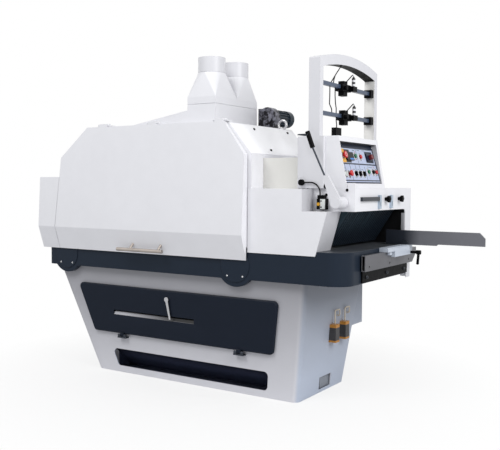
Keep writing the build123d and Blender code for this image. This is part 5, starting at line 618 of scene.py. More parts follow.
# Boxes printed on the faceplate, by their ink: middle across and up, and half sizes, in millimetres
# The first line, the navy band along the top, is partly print and partly the painted shadow under the recess's top
# wall.
PANEL_LINES = (
    (47, 220, 250, 15), (285, 117, 8, 120), (47, 115, 250, 4), (47, 18, 250, 3.5), (47, 5, 250, 4.5),
    (-150, 88, 2.4, 23), (-84, 66, 2.4, 46), (-14, 92, 2.2, 20), (40, 92, 2.2, 20), (108, 60, 2.0, 40),
    (46, 168, 2.0, 46), (211, 160, 52, 34),
)
PANEL_MARKS = (
    (13, 196, 15, 3), (79, 199, 17, 2.5), (46, 184, 4, 5), (150, 199, 20, 2), (212, 204, 26, 1.6), (-42, 84, 12, 1.5),
    (13, 84, 12, 1.5), (68, 84, 12, 1.5), (190, 99, 26, 1.8), (-173, 90, 14, 1.4),
)
PANEL_DOTS = ((-62, 80, 3, 3), (234, 101, 4, 3), (30, 188, 3, 3))
PANEL_WINDOW = ((-80, 160, 34, 38),)
PANEL_PRINT = (
    ("panel_navy", PANEL_LINES), ("panel_mark", PANEL_MARKS), ("red_plastic", PANEL_DOTS),
    ("black_plastic", PANEL_WINDOW),
)
# Rings printed there: middle across and up, and radius, in millimetres
PANEL_RINGS = ((-42, 56, 21), (13, 56, 21), (68, 56, 21), (196, 62, 58))
ESTOP_RING = (-145, 160, 10.5)
# Half the width of those rings, in metres
RING_HALF = 0.0010
ESTOP_HALF = 0.0022
DISPLAY_STRIP = (-44, 142, 24, 4.5)


def panel_place(tree):
    """Places on the faceplate."""
    return tree.group("panel_place", {})["Place"]


def printed_box(tree, place, box):
    """Mask of a printed box given in millimetres."""
    across, up, half_across, half_up = [part / 1000 for part in box]
    return tree.group(
        "print_box", {"Place": place, "Middle": (across, up, 0.0), "Half": (half_across, half_up, 1.0)}
    )["Mask"]


def printed_ring(tree, place, ring, half):
    """Mask of a printed ring given in millimetres."""
    across, up, radius = [part / 1000 for part in ring]
    return tree.group(
        "print_ring", {"Place": place, "Middle": (across, up, 0.0), "Radius": radius, "Half": half}
    )["Mask"]


def panel_colour(tree, ink):
    """Lavender face with a navy frame, lines, rings and small marks."""
    place = panel_place(tree)
    colour = ink("panel_face")
    for ring in PANEL_RINGS:
        colour = tree.mixed(printed_ring(tree, place, ring, RING_HALF), colour, ink("panel_mark"))
    for name, boxes in PANEL_PRINT:
        for box in boxes:
            colour = tree.mixed(printed_box(tree, place, box), colour, ink(name))
    return colour


def display_colour(tree, ink):
    """Black glass with a lit blue strip."""
    strip = printed_box(tree, panel_place(tree), DISPLAY_STRIP)
    return tree.mixed(strip, ink("black_plastic"), ink("screen_strip"))


def estop_colour(tree, ink):
    """Red with a pale broken ring on the cap."""
    place = panel_place(tree)
    broken = tree.ranged(tree.noise(place, 160.0, 0.0), 0.46, 0.54, 0.0, 0.8)
    ring = tree.product(printed_ring(tree, place, ESTOP_RING, ESTOP_HALF), broken)
    return tree.mixed(ring, ink("red_plastic"), ink("white_paint"))


# Finishes


def new_material(name):
    """A material with an empty tree, and its output socket."""
    material = bpy.data.materials.new(f"saw_{name}")
    material.use_nodes = True
    material.node_tree.nodes.clear()
    tree = Tree(material.node_tree)
    return tree, tree.add("ShaderNodeOutputMaterial").inputs["Surface"]


def finish_of(name):
    """The material of a finish."""
    return bpy.data.materials[f"saw_{name}"]


class Finish:
    """A finish that is being made: a skin, then dust or none, then worn edges and a fine bump."""

    def __init__(self, looks, name):
        self.looks = looks
        self.tree, self.surface = new_material(name)

    def ink(self, name):
        """A colour by its name."""
        return rgba(getattr(self.looks, name))

    def skin(self, group, colour, roughness, **more):
        """Lays a skin over a colour, given by its name or by a function that makes it."""
        colour = colour(self.tree, self.ink) if callable(colour) else self.ink(colour)
        self.layer = self.tree.group(group, {"Colour": colour, "Roughness": roughness, **more})
        self.colour = self.layer["Colour"]

    def settle_dust(self):
        """Lays dust on the faces that look up."""
        dust = {"Colour": self.colour, "Dust": self.ink("dust"), "Amount": self.looks.dust_amount}
        self.colour = self.tree.group("settled_dust", dust)["Colour"]

    def paler(self, share):
        """The skin's own colour, taken some way to white."""
        return self.tree.mixed(share, self.colour, WHITE)

    def end(self, bare, radius, bump, wear=1.0, **constants):
        """Wears the edges, adds the bump and ends in one Principled shader."""
        tree = self.tree
        distance, strength = bump
        worn = tree.group("edge_wear", {
            "Colour": self.colour, "Bare": bare, "Amount": self.looks.wear_amount * wear, "Radius": radius,
        })
        rough = tree.add("ShaderNodeBump", {
            "Height": self.layer["Height"], "Distance": distance, "Strength": strength, "Normal": worn["Normal"],
        })
        shader = tree.add("ShaderNodeBsdfPrincipled", {
            "Base Color": worn["Colour"], "Roughness": self.layer["Roughness"], "Normal": rough.outputs[0],
        })
        for key, value in constants.items():
            shader.inputs[key.replace("_", " ")].default_value = value
        tree.feed(self.surface, shader.outputs[0])


# Paints: name, colour, worn edge, partly a painted highlight, roughness, share of wear and of that highlight, radius
# of the edges in metres, specular level
PAINTS = (
    ("white_paint", "white_paint", "pale_edge", 0.36, 0.5, 0.003, 0.5),
    ("base_paint", base_colour, "pale_edge", 0.40, 0.4, 0.003, 0.5),
    ("infeed_paint", infeed_colour, "pale_edge", 0.36, 0.5, 0.003, 0.5),
    ("arch_paint", arch_colour, "pale_edge", 0.45, 0.4, 0.003, 0.05),
    ("console_paint", console_colour, "pale_edge", 0.36, 0.5, 0.003, 0.5),
    ("duct_paint", duct_colour, "pale_edge", 0.36, 0.5, 0.003, 0.5),
    ("shoulder_painted_light", "shoulder_painted_light", "pale_edge", 0.36, 0.5, 0.003, 0.5),
    ("guard_paint", guard_colour, "pale_edge", 0.36, 0.5, 0.003, 0.5),
    ("lever_paint", "arch_paint", "pale_edge", 0.36, 0.5, 0.003, 0.5),
    ("carriage_paint", "carriage", "pale_edge", 0.36, 0.6, 0.003, 0.5),
    ("plate_grey", "hole_plate", "pale_edge", 0.40, 0.4, 0.003, 0.5),
    ("grip_paint", grip_colour, "pale_edge", 0.40, 0.2, 0.003, 0.5),
    ("ring_painted_reflection", ring_colour, "pale_edge", 0.30, 0.2, 0.001, 0.5),
    ("panel_face", panel_colour, "pale_edge", 0.32, 0.2, 0.001, 0.3),
    ("yellow_plate", "yellow_plate", "pale_edge", 0.36, 0.4, 0.001, 0.5),
    ("tray_paint", tray_colour, "dark_edge", 0.45, 0.4, 0.003, 0.06),
    ("dark_paint", "dark_paint", "dark_edge", 0.40, 1.3, 0.005, 0.09),
    ("bed_paint", bed_colour, "dark_edge", 0.36, 1.6, 0.005, 0.13),
    ("finger_paint", finger_colour, "dark_edge", 0.40, 0.2, 0.002, 0.1),
    ("bar_paint", "bar_paint", "dark_edge", 0.30, 1.0, 0.002, 0.4),
    ("motor_paint", "motor_paint", "dark_edge", 0.30, 1.0, 0.002, 0.2),
    ("panel_navy", "panel_navy", "dark_edge", 0.34, 0.6, 0.001, 0.3),
    ("fence_steel", fence_colour, "ground_steel", 0.42, 1.0, 0.0015, 0.35),
)
# Stretch of the fine lines in bare metal, by the axis that they run along
LINES_X = (4.0, 420.0, 420.0)
LINES_Y = (420.0, 4.0, 420.0)
LINES_Z = (420.0, 420.0, 4.0)
# Metals: name, colour, worn edge, roughness, lines
METALS = (
    ("ground_rail", "ground_steel", "bright_steel", 0.42, LINES_Y),
    ("dark_steel", "dark_steel", "ground_steel", 0.42, LINES_Z),
    ("gauge_steel", "dark_steel", "bright_steel", 0.30, LINES_Y),
    ("stop_steel", "stop_steel", "bright_steel", 0.28, LINES_Z),
    ("handle_steel", "handle_steel", "bright_steel", 0.30, LINES_X),
    ("bright_steel", "bright_steel", "bright_steel", 0.22, LINES_Y),
    ("blade_steel", "bright_steel", "bright_steel", 0.30, LINES_Z),
    ("aluminium", "bright_steel", "bright_steel", 0.34, LINES_Y),
)
CASTINGS = (("cast_iron", "cast_iron", 0.55), ("gear_skin", gear_colour, 0.42))
# Plastics: name, colour, roughness, specular level
PLASTICS = (
    ("black_plastic", "black_plastic", 0.45, 0.06), ("red_plastic", "red_plastic", 0.30, 0.4),
    ("estop_red", estop_colour, 0.30, 0.4), ("dark_red_plastic", "dark_red", 0.32, 0.4),
    ("green_plastic", "green_plastic", 0.30, 0.4), ("white_plastic", "switch_body", 0.36, 0.4),
    ("yellow_plastic", "yellow_plate", 0.36, 0.4), ("lubricator", lubricator_colour, 0.36, 0.4),
    ("laser_tube", laser_colour, 0.28, 0.4), ("oil_tube", "hose", 0.30, 0.4),
    ("rubber", "rubber", 0.62, 0.12), ("display_glass", display_colour, 0.12, 0.15),
)
# Fine bumps: height in metres, and strength
PAINT_BUMP = (0.0004, 0.10)
METAL_BUMP = (0.0002, 0.12)
CAST_BUMP = (0.0005, 0.35)
PLASTIC_BUMP = (0.0001, 0.15)
# Worn edges: radius in metres, and how far those of castings and plastics go to white
METAL_EDGE = 0.0015
CAST_EDGE = 0.002
PLASTIC_EDGE = 0.0012
CAST_PALE = 0.15
PLASTIC_PALE = 0.05
CAST_METALLIC = 0.6


def make_finishes(looks):
    """Makes every finish of the tables."""
    for name, colour, bare, roughness, wear, radius, specular in PAINTS:
        paint = Finish(looks, name)
        paint.skin("paint_skin", colour, roughness)
        paint.settle_dust()
        paint.end(paint.ink(bare), radius, PAINT_BUMP, wear, Specular_IOR_Level=specular)
    for name, colour, bare, roughness, lines in METALS:
        metal = Finish(looks, name)
        metal.skin("brushed", colour, roughness, Stretch=lines)
        metal.end(metal.ink(bare), METAL_EDGE, METAL_BUMP, Metallic=1.0)
    for name, colour, roughness in CASTINGS:
        casting = Finish(looks, name)
        casting.skin("cast_skin", colour, roughness)
        casting.end(casting.paler(CAST_PALE), CAST_EDGE, CAST_BUMP, Metallic=CAST_METALLIC)
    for name, colour, roughness, specular in PLASTICS:
        plastic = Finish(looks, name)
        plastic.skin("moulded", colour, roughness)
        plastic.end(plastic.paler(PLASTIC_PALE), PLASTIC_EDGE, PLASTIC_BUMP, Specular_IOR_Level=specular)


# Pieces


SHEET_FINISHES = {
    "upper_housing": "white_paint", "shoulder_panel": "shoulder_painted_light", "hood": "white_paint",
    "end_housing": "white_paint", "dust_hood": "duct_paint", "infeed_housing": "infeed_paint",
    "infeed_guard": "guard_paint", "console_box": "console_paint", "arch_frame": "arch_paint",
    "hood_handle": "handle_steel", "lifting_eye": "bright_steel", "drive_cover": "base_paint",
}
BASE_FINISHES = {
    "electric_box": "base_paint", "toe_tray": "tray_paint", "base_latch": "bright_steel", "table_bed": "bed_paint",
    "bearing_covers": "bed_paint", "fence_plate": "fence_steel", "clamp_lever": "black_plastic",
}
RUNNING_FINISHES = {
    "drive_shaft": "bright_steel", "idler_shaft": "bright_steel", "feed_chain": "dark_steel",
    "feed_gearmotor": "motor_paint", "saw_arbor": "bright_steel", "saw_blades": "blade_steel",
    "main_motor": "motor_paint", "motor_shaft": "bright_steel", "drive_belt": "rubber",
    "press_frames": "cast_iron", "roller_infeed": "rubber", "roller_outfeed": "rubber",
}
CONTROL_FINISHES = {
    "estop": "estop_red", "start_button": "green_plastic", "stop_button": "red_plastic",
    "speed_knob": "dark_red_plastic", "selector_left": "white_plastic", "mushroom_stop": "red_plastic",
    "selector_a": "black_plastic", "selector_b": "black_plastic", "selector_c": "black_plastic",
    "button_up": "green_plastic", "button_black": "black_plastic", "button_down": "red_plastic",
    "star_knob_near": "black_plastic", "star_knob_far": "black_plastic", "lever_trigger": "dark_steel",
}


def give_finish(mesh, finish):
    """Puts one finish on a whole mesh."""
    mesh.materials.clear()
    mesh.materials.append(finish_of(finish))


def dress_all(finishes):
    """Gives each CAD node in a table its finish."""
    for node, finish in finishes.items():
        give_finish(frame["nodes"][node].data, finish)


def linked(name, data):
    """A new object in the scene."""
    made = bpy.data.objects.new(name, data)
    bpy.context.scene.collection.objects.link(made)
    return made


def finished(mesh, name, body, finish, slot):
    """A new piece from a mesh, on its body, with its finish."""
    give_finish(mesh, finish)
    piece = linked(name, mesh)
    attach(piece, body)
    return piece


# Angles in degrees above which an edge stays sharp, and the distance in metres at which corners are one
CAD_SHARP = 28
BOX_SHARP = 40
MERGED = 1e-6


def smooth_mesh(name, shape, sharp):
    """A mesh from a shape, smooth up to an angle in degrees."""
    mesh = bpy.data.meshes.new(name)
    shape.to_mesh(mesh)
    shape.free()
    mesh.shade_smooth()
    mesh.set_sharp_from_angle(angle=math.radians(sharp))
    return mesh


def islands(shape):
    """The separate shells of a merged mesh, each as a list of faces."""
    left = set(shape.faces)
    while left:
        seed = left.pop()
        shell, edge_of = [seed], [seed]
        while edge_of:
            face = edge_of.pop()
            for edge in face.edges:
                for other in edge.link_faces:
                    if other in left:
                        left.discard(other)
                        shell.append(other)
                        edge_of.append(other)
        yield shell


def shell_box(shell):
    """Middle and size of a shell."""
    points = [corner.co for face in shell for corner in face.verts]
    low = Vector([min(point[axis] for point in points) for axis in range(3)])
    high = Vector([max(point[axis] for point in points) for axis in range(3)])
    return (low + high) / 2, high - low


def mesh_of_faces(name, faces):
    """A mesh of its own from some faces of a shape."""
    part = bmesh.new()
    copies = {}
    for face in faces:
        for corner in face.verts:
            if corner not in copies:
                copies[corner] = part.verts.new(corner.co)
        part.faces.new([copies[corner] for corner in face.verts])
    return smooth_mesh(name, part, CAD_SHARP)


def split_node(node, choose, finishes):
    """Stands pieces in for a CAD node, one for each finish that choose names from a face and its shell."""
    source = frame["nodes"][node]
    shape = bmesh.new()
    shape.from_mesh(source.data)
    bmesh.ops.remove_doubles(shape, verts=shape.verts, dist=MERGED)
    chosen = {}
    for shell in islands(shape):
        middle, size = shell_box(shell)
        for face in shell:
            chosen.setdefault(choose(face.calc_center_median(), middle, size), []).append(face)
    for key, faces in chosen.items():
        name = f"{node}_{key}"
        piece = finished(mesh_of_faces(name, faces), name, body_of(source)[0], *finishes[key])
        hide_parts(node)
    shape.free()


# Rules that name a face's piece, from the face's middle and its shell's middle and size, in metres


def beyond(axis, limit, yes, no):
    """A rule by whether a face's middle is beyond a place along an axis."""
    return lambda centre, middle, size: yes if centre[axis] > limit else no


def longer(axis, limit, yes, no):
    """A rule by whether a shell is longer than a limit along an axis."""
    return lambda centre, middle, size: yes if size[axis] > limit else no


# Limits of those rules
HINGE_LENGTH = 0.2
CARRIAGE_TOP = 0.8485
FINGER_WIDTH = 0.2
LIFT_MOTOR_START = 0.3345
RAIL_BACK_X = 1.0462
DOOR_GRIP = ((-0.5885, 0.0485), (-0.3135, -0.3035), (0.3585, 0.3925))


def choose_door(centre, middle, size):
    """Which piece of the base door a face is on."""
    within = all(low < centre[axis] < high for axis, (low, high) in enumerate(DOOR_GRIP))
    return "grip" if within else "panel"


def choose_faceplate(centre, middle, size):
    """Which piece of the control panel a shell is."""
    if size.y > 0.4:
        return "plate"
    if size.y > 0.08:
        return "display" if middle.y < 0.05 else "knob_plate"
    return "stop_plate" if size.z > 0.06 else "bezels"


BRACKET_DEPTH = 0.0365


def choose_laser_mount(centre, middle, size):
    """Which piece of the laser mounting a face is on."""
    if size.y > 0.5:
        return "brackets" if centre.y > middle.y + size.y / 2 - BRACKET_DEPTH else "bars"
    return "driver" if min(size) > 0.02 else "leads"


# Laser heads: the tubes' place along the saw, each tube's place across it and its bar's height
LASER_X = 0.828
LASERS = {"laser_upper": (0.195, LOWER_BAR_Z + BAR_STEP), "laser_lower": (0.208, LOWER_BAR_Z)}
LASER_TUBE = 0.0112
SHELF_TOP = 0.0105


def choose_laser(across, rise):
    """A rule that tells the laser's tube from the rest of its head."""
    def choose(centre, middle, size):
        apart = math.hypot(centre.x - LASER_X, centre.y - across)
        return "tube" if apart < LASER_TUBE and centre.z > rise + SHELF_TOP else "clamp"
    return choose


LEVER_ARM_TOP = 1.2568
LEVER_GRIP_FOOT = 1.398


def choose_lever(centre, middle, size):
    """Which piece of the hand lever a face is on."""
    if centre.z < LEVER_ARM_TOP:
        return "arm"
    return "grip" if centre.z > LEVER_GRIP_FOOT else "rod"


def choose_gauge(centre, middle, size):
    """Which piece of the gauge a shell is."""
    if size.y > 0.2:
        return "bar"
    return "stops" if size.z > 0.05 else "posts"


def choose_lubricator(centre, middle, size):
    """Which piece of a lubricator a shell is."""
    return "units" if size.z > 0.09 and size.y < 0.055 else "tubes"


SWITCH_FRONT_Y = -0.2412


def choose_switch(centre, middle, size):
    """Which piece of the limit switch a face is on."""
    if size.x > 0.09:
        return "lead"
    return "roller" if centre.y < SWITCH_FRONT_Y and middle.z < 1.15 and centre.x > 0.8 else "case"


# Fasteners


# Washer, head and socket of a fastener: width and height by the head's radius, and sides, nothing for the head's own
HEAD_STEPS = ((1.35, 0.30, 20), (1.0, 0.95, None), (0.55, 1.05, 6))


def new_rank(name, sizes):
    """An empty geometry tree that takes points, named sizes and a finish: its group, its tree and its inputs."""
    group = bpy.data.node_groups.new(name, "GeometryNodeTree")
    for label, kind in (("Points", "Geometry"), *sizes, ("Finish", "Material")):
        group.interface.new_socket(label, in_out="INPUT", socket_type=f"NodeSocket{kind}")
    group.interface.new_socket("Pieces", in_out="OUTPUT", socket_type="NodeSocketGeometry")
    tree = Tree(group)
    return group, tree, tree.add("NodeGroupInput").outputs


def make_fastener_tree():
    """Geometry nodes that stand a washered head on every point, along the point's facing."""
    group, tree, given = new_rank("fastener_rank", (("Head radius", "Float"), ("Sides", "Int")))
    radius = given["Head radius"]
    joined = tree.add("GeometryNodeJoinGeometry")
    steps = []
    for width, height, sides in HEAD_STEPS:
        deep = tree.product(radius, height)
        solid = tree.add("GeometryNodeMeshCylinder", {
            "Vertices": sides or given["Sides"], "Radius": tree.product(radius, width), "Depth": deep,
        })
        lift = tree.add("ShaderNodeCombineXYZ", {2: tree.product(deep, 0.5)}).outputs[0]
        steps.append(tree.add("GeometryNodeTransform", {"Geometry": solid.outputs["Mesh"], "Translation": lift}))
    for step in steps:
        tree.feed(joined.inputs["Geometry"], step.outputs["Geometry"])
    stand_on_points(tree, given, joined.outputs["Geometry"])
    return group


def make_ring_tree():
    """Geometry nodes that lay a round wire ring on every point, across the point's facing."""
    group, tree, given = new_rank("ring_rank", (("Ring radius", "Float"), ("Wire radius", "Float")))
    loop, wire = [
        tree.add("GeometryNodeCurvePrimitiveCircle", {"Resolution": points, "Radius": given[size]}).outputs["Curve"]
        for points, size in ((40, "Ring radius"), (10, "Wire radius"))
    ]
    ring = tree.add("GeometryNodeCurveToMesh", {"Curve": loop, "Profile Curve": wire})
    stand_on_points(tree, given, ring.outputs["Mesh"])
    return group


def stand_on_points(tree, given, shape):
    """Ends a tree: the shape on every point, turned to its facing, as plain mesh with a finish."""
    way = tree.add("GeometryNodeInputNamedAttribute", {"Name": "facing"}, data_type="FLOAT_VECTOR").outputs[0]
    turn = tree.add("FunctionNodeAlignRotationToVector", {"Vector": way}, axis="Z").outputs[0]
    many = tree.add("GeometryNodeInstanceOnPoints", {"Points": given["Points"], "Instance": shape, "Rotation": turn})
    real = tree.add("GeometryNodeRealizeInstances", {"Geometry": many.outputs["Instances"]})
    done = tree.add("GeometryNodeSetMaterial", {"Geometry": real.outputs["Geometry"], "Material": given["Finish"]})
    tree.feed(tree.add("NodeGroupOutput").inputs[0], done.outputs["Geometry"])


def grown_mesh(name, group, seats, settings):
    """The mesh that a tree makes from seats, each a place and a facing."""
    carrier = bpy.data.meshes.new(f"{name}_seats")
    carrier.from_pydata([place for place, way in seats], [], [])
    attribute = carrier.attributes.new("facing", "FLOAT_VECTOR", "POINT")
    for number, (place, way) in enumerate(seats):
        attribute.data[number].vector = way
    holder = linked(f"{name}_seats", carrier)
    modifier = holder.modifiers.new("rank", "NODES")
    modifier.node_group = group
    for socket in group.interface.items_tree:
        if socket.in_out == "INPUT" and socket.name in settings:
            modifier[socket.identifier] = settings[socket.name]
    graph = bpy.context.evaluated_depsgraph_get()
    mesh = bpy.data.meshes.new_from_object(holder.evaluated_get(graph))
    holder.modifiers.remove(modifier)
    bpy.data.objects.remove(holder)
    bpy.data.meshes.remove(carrier)
    mesh.name = name
    return mesh


def seat(nodes, place, way):
    """The nearest point of some CAD nodes that a ray from a place meets, with the way back."""
    start = Vector(place)
    aim = Vector(way).normalized()
    found = []
    for node in nodes:
        source = frame["nodes"][node]
        corners = [source.matrix_world @ corner.co for corner in source.data.vertices]
        faces = [list(face.vertices) for face in source.data.polygons]
        spot, normal, number, distance = BVHTree.FromPolygons(corners, faces).ray_cast(start, aim)
        if spot is not None:
            found.append((distance, spot))
    if not found:
        raise RuntimeError(f"no seat on {nodes} from {place}")
    return min(found, key=lambda item: item[0])[1], -aim


def on_panel(across, up, lift=0.0):
    """A seat on the faceplate, given in millimetres."""
    spot = PANEL_FOOT + PANEL_UP * (up / 1000) + PANEL_OUT * (lift / 1000)
    return Vector((spot.x, across / 1000, spot.z)), PANEL_OUT


INWARD = (0.0, 1.0, 0.0)
FROM_INFEED = (-1.0, 0.0, 0.0)
SHOULDER_IN = Vector((-0.770, 0.0, -0.638))
# Places of the fasteners, in metres: along the bed, along and up the near plate, on the shoulder, across the rail
BED_BOLTS = (-1.037, -0.933, 0.298, 0.404)
NEAR_PLATE_SCREWS = ((0.743, 1.176), (0.859, 1.149), (0.983, 1.176))
SHOULDER_SCREWS = (
    (0.3284, -0.1029, 1.529), (0.3279, 0.2954, 1.5296), (0.4322, -0.0801, 1.4038), (0.4322, 0.318, 1.4038),
)
RAIL_BOLTS = (-0.073, 0.212, 0.480)
BED_BOLT_Z = 0.682
RAIL_BOLT_Z = 0.699
# Where the rays that seat them start: across for the bed and the near plate, along for the rail, off the shoulder
BED_START = -0.50
PLATE_START = -0.30
RAIL_START = 1.30
SHOULDER_OFF = 0.1
# Corner screws of the faceplate, in millimetres across and up
FACE_SCREWS = [(across, up) for across in (-190, 286) for up in (10, 222)]


def bed_bolt_seats():
    """Bolts under the bearing lobes of the bed."""
    return [seat(("bearing_covers", "table_bed"), (x, BED_START, BED_BOLT_Z), INWARD) for x in BED_BOLTS]


def panel_screw_seats():
    """Screws of the near plate and of the shoulder panel."""
    plate = [seat(("infeed_housing",), (x, PLATE_START, z), INWARD) for x, z in NEAR_PLATE_SCREWS]
    before = [Vector(place) - SHOULDER_OFF * SHOULDER_IN for place in SHOULDER_SCREWS]
    return plate + [seat(("shoulder_panel",), place, SHOULDER_IN) for place in before]


def rail_bolt_seats():
    """Bolts that hold the rail mount to the bed."""
    return [seat(("front_rail", "table_bed"), (RAIL_START, y, RAIL_BOLT_Z), FROM_INFEED) for y in RAIL_BOLTS]


def face_screw_seats():
    """Screws in the corners of the control panel."""
    return [on_panel(across, up) for across, up in FACE_SCREWS]


# Cover of the limit switch, in metres: its near corner, its far corner, and the two screws in it
COVER_LOW = Vector((0.842, -0.2440, 1.0725))
COVER_HIGH = Vector((0.8715, -0.2408, 1.1265))
COVER_SCREWS = ((0.848, 1.116), (0.848, 1.083))


def cover_screw_seats():
    """Screws in the limit switch's cover."""
    return [(Vector((x, COVER_LOW.y, z)), Vector((0.0, -1.0, 0.0))) for x, z in COVER_SCREWS]


# Fasteners: name, their seats, the property of their size, sides of the head, finish, slot
COVER_FASTENERS = (("cover_screws", cover_screw_seats, "cover_screw", 16, "black_plastic", "black_plastic"),)
FASTENERS = (
    ("bed_bolts", bed_bolt_seats, "bed_bolt", 24, "bright_steel", "bright_steel"),
    ("panel_screws", panel_screw_seats, "panel_screw", 20, "black_plastic", "dark_steel"),
    ("rail_bolts", rail_bolt_seats, "rail_bolt", 24, "dark_steel", "dark_steel"),
    ("face_screws", face_screw_seats, "face_screw", 16, "bright_steel", "bright_steel"),
)


def add_fasteners(group, sizes, table):
    """Adds the fasteners of a table."""
    for name, seats, size, sides, finish, slot in table:
        mesh = grown_mesh(name, group, seats(), {
            "Head radius": getattr(sizes, size), "Sides": sides, "Finish": finish_of(finish),
        })
        finished(mesh, name, "frame", finish, slot)


# Controls with a bright ring: place across and up the faceplate, and the rings' lift off it, in millimetres
RINGED_CONTROLS = (
    (-173, 54), (-132, 54), (-42, 56), (13, 56), (68, 56), (13, 161), (79, 158), (140, 69), (203, 69), (246, 69),
)
RING_LIFT = 0.8


# Roundings of thin plates and of the cover's rim, in metres
PLATE_BEVEL = 0.0008
RIM_BEVEL = 0.0005


def bevelled_box(shape, low, high, bevel):
    """A box with rounded edges in a shape."""
    made = bmesh.ops.create_cube(shape, size=1.0)["verts"]
    for corner in made:
        corner.co = Vector([low[axis] if corner.co[axis] < 0 else high[axis] for axis in range(3)])
    edges = list({edge for corner in made for edge in corner.link_edges})
    bmesh.ops.bevel(shape, geom=edges, offset=bevel, segments=2, profile=0.5, affect="EDGES")


def boxes_mesh(name, boxes):
    """A mesh of rounded boxes, each given by two corners and its rounding."""
    shape = bmesh.new()
    for low, high, bevel in boxes:
        bevelled_box(shape, low, high, bevel)
    bmesh.ops.recalc_face_normals(shape, faces=shape.faces)
    return smooth_mesh(name, shape, BOX_SHARP)


def switch_cover_mesh():
    """Pressed cover with a raised rim along its far side."""
    rim_low = Vector((COVER_HIGH.x - 0.006, COVER_LOW.y - 0.0015, COVER_LOW.z + 0.003))
    rim_high = Vector((COVER_HIGH.x - 0.001, COVER_LOW.y + 0.0005, COVER_HIGH.z - 0.003))
    return boxes_mesh("switch_cover", ((COVER_LOW, COVER_HIGH, PLATE_BEVEL), (rim_low, rim_high, RIM_BEVEL)))


# Plate that stands behind the base's cable hole, in metres
HOLE_PLATE_LOW = Vector((0.7275, -0.012, 0.010))
HOLE_PLATE_HIGH = Vector((0.7335, 0.118, 0.100))


def hole_plate_mesh():
    """Folded plate behind the cable hole, with a flange along its near side."""
    flange_low = HOLE_PLATE_LOW - Vector((0.020, 0.0, 0.0))
    flange_high = Vector((HOLE_PLATE_LOW.x + 0.001, HOLE_PLATE_LOW.y + 0.003, HOLE_PLATE_HIGH.z))
    boxes = ((HOLE_PLATE_LOW, HOLE_PLATE_HIGH, PLATE_BEVEL), (flange_low, flange_high, PLATE_BEVEL))
    return boxes_mesh("cable_hole_plate", boxes)


# Steps


class SAW_OT_finishes(Operator):
    """Makes the shader groups and the finishes"""

    bl_idname = "saw.finishes"
    bl_label = "Finishes"

    def execute(self, context):
        for make in (make_paint_skin, make_settled_dust, make_edge_wear, make_brushed, make_moulded, make_cast_skin,
                     make_panel_place, make_print_box, make_print_ring):
            make()
        make_finishes(context.scene.saw_colours)
        return {"FINISHED"}


class SAW_OT_sheet_metal(Operator):
    """Dresses the hood, the housings, the arch and what is fixed on them"""

    bl_idname = "saw.sheet_metal"
    bl_label = "Sheet metal"

    def execute(self, context):
        dress_all(SHEET_FINISHES)
        return {"FINISHED"}


class SAW_OT_base_and_bed(Operator):
    """Dresses the base, its door, the bed and the fence"""

    bl_idname = "saw.base_and_bed"
    bl_label = "Base and bed"

    def execute(self, context):
        dress_all(BASE_FINISHES)
        split_node("base_cabinet", longer(0, HINGE_LENGTH, "shell", "hinges"), {
            "shell": ("base_paint", "cream_paint"), "hinges": ("dark_steel", "dark_steel"),
        })
        split_node("base_door", choose_door, {
            "panel": ("dark_paint", "dark_paint"), "grip": ("grip_paint", "bright_steel"),
        })
        split_node("fence_carriage", beyond(2, CARRIAGE_TOP, "boss", "body"), {
            "body": ("carriage_paint", "white_paint"), "boss": ("dark_steel", "dark_steel"),
        })
        finished(hole_plate_mesh(), "cable_hole_plate", "frame", "plate_grey", "galvanised")
        return {"FINISHED"}


class SAW_OT_running_gear(Operator):
    """Dresses the shafts, the chain, the blades, the motors and the rollers"""

    bl_idname = "saw.running_gear"
    bl_label = "Running gear"

    def execute(self, context):
        dress_all(RUNNING_FINISHES)
        return {"FINISHED"}


class SAW_OT_controls(Operator):
    """Dresses the buttons, selectors, knobs and the trigger"""

    bl_idname = "saw.controls"
    bl_label = "Controls"

    def execute(self, context):
        dress_all(CONTROL_FINISHES)
        return {"FINISHED"}


class SAW_OT_faceplate(Operator):
    """Stands the printed faceplate, its display, plates and bezels in for their CAD node"""

    bl_idname = "saw.faceplate"
    bl_label = "Faceplate"

    def execute(self, context):
        split_node("faceplate", choose_faceplate, {
            "plate": ("panel_face", "panel_grey"), "display": ("display_glass", "black_plastic"),
            "knob_plate": ("panel_navy", "dark_paint"), "stop_plate": ("yellow_plate", "panel_grey"),
            "bezels": ("aluminium", "aluminium"),
        })
        return {"FINISHED"}


class SAW_OT_laser_works(Operator):
    """Stands the bars, leads, driver box and laser heads in for their CAD nodes"""

    bl_idname = "saw.laser_works"
    bl_label = "Laser works"

    def execute(self, context):
        split_node("laser_mounts", choose_laser_mount, {
            "bars": ("bar_paint", "dark_steel"), "brackets": ("black_plastic", "black_plastic"),
            "driver": ("black_plastic", "black_plastic"), "leads": ("rubber", "black_plastic"),
        })
        for node, (across, rise) in LASERS.items():
            split_node(node, choose_laser(across, rise), {
                "tube": ("laser_tube", "white_plastic"), "clamp": ("black_plastic", "black_plastic"),
            })
        return {"FINISHED"}


class SAW_OT_lever_works(Operator):
    """Stands the lever, its grip, the finger shaft and the fingers in for their CAD nodes"""

    bl_idname = "saw.lever_works"
    bl_label = "Lever works"

    def execute(self, context):
        split_node("hand_lever", choose_lever, {
            "arm": ("lever_paint", "white_paint"), "grip": ("black_plastic", "black_plastic"),
            "rod": ("dark_steel", "dark_steel"),
        })
        split_node("kickback_fingers", longer(1, FINGER_WIDTH, "shaft", "plates"), {
            "shaft": ("bright_steel", "bright_steel"), "plates": ("finger_paint", "dark_steel"),
        })
        return {"FINISHED"}


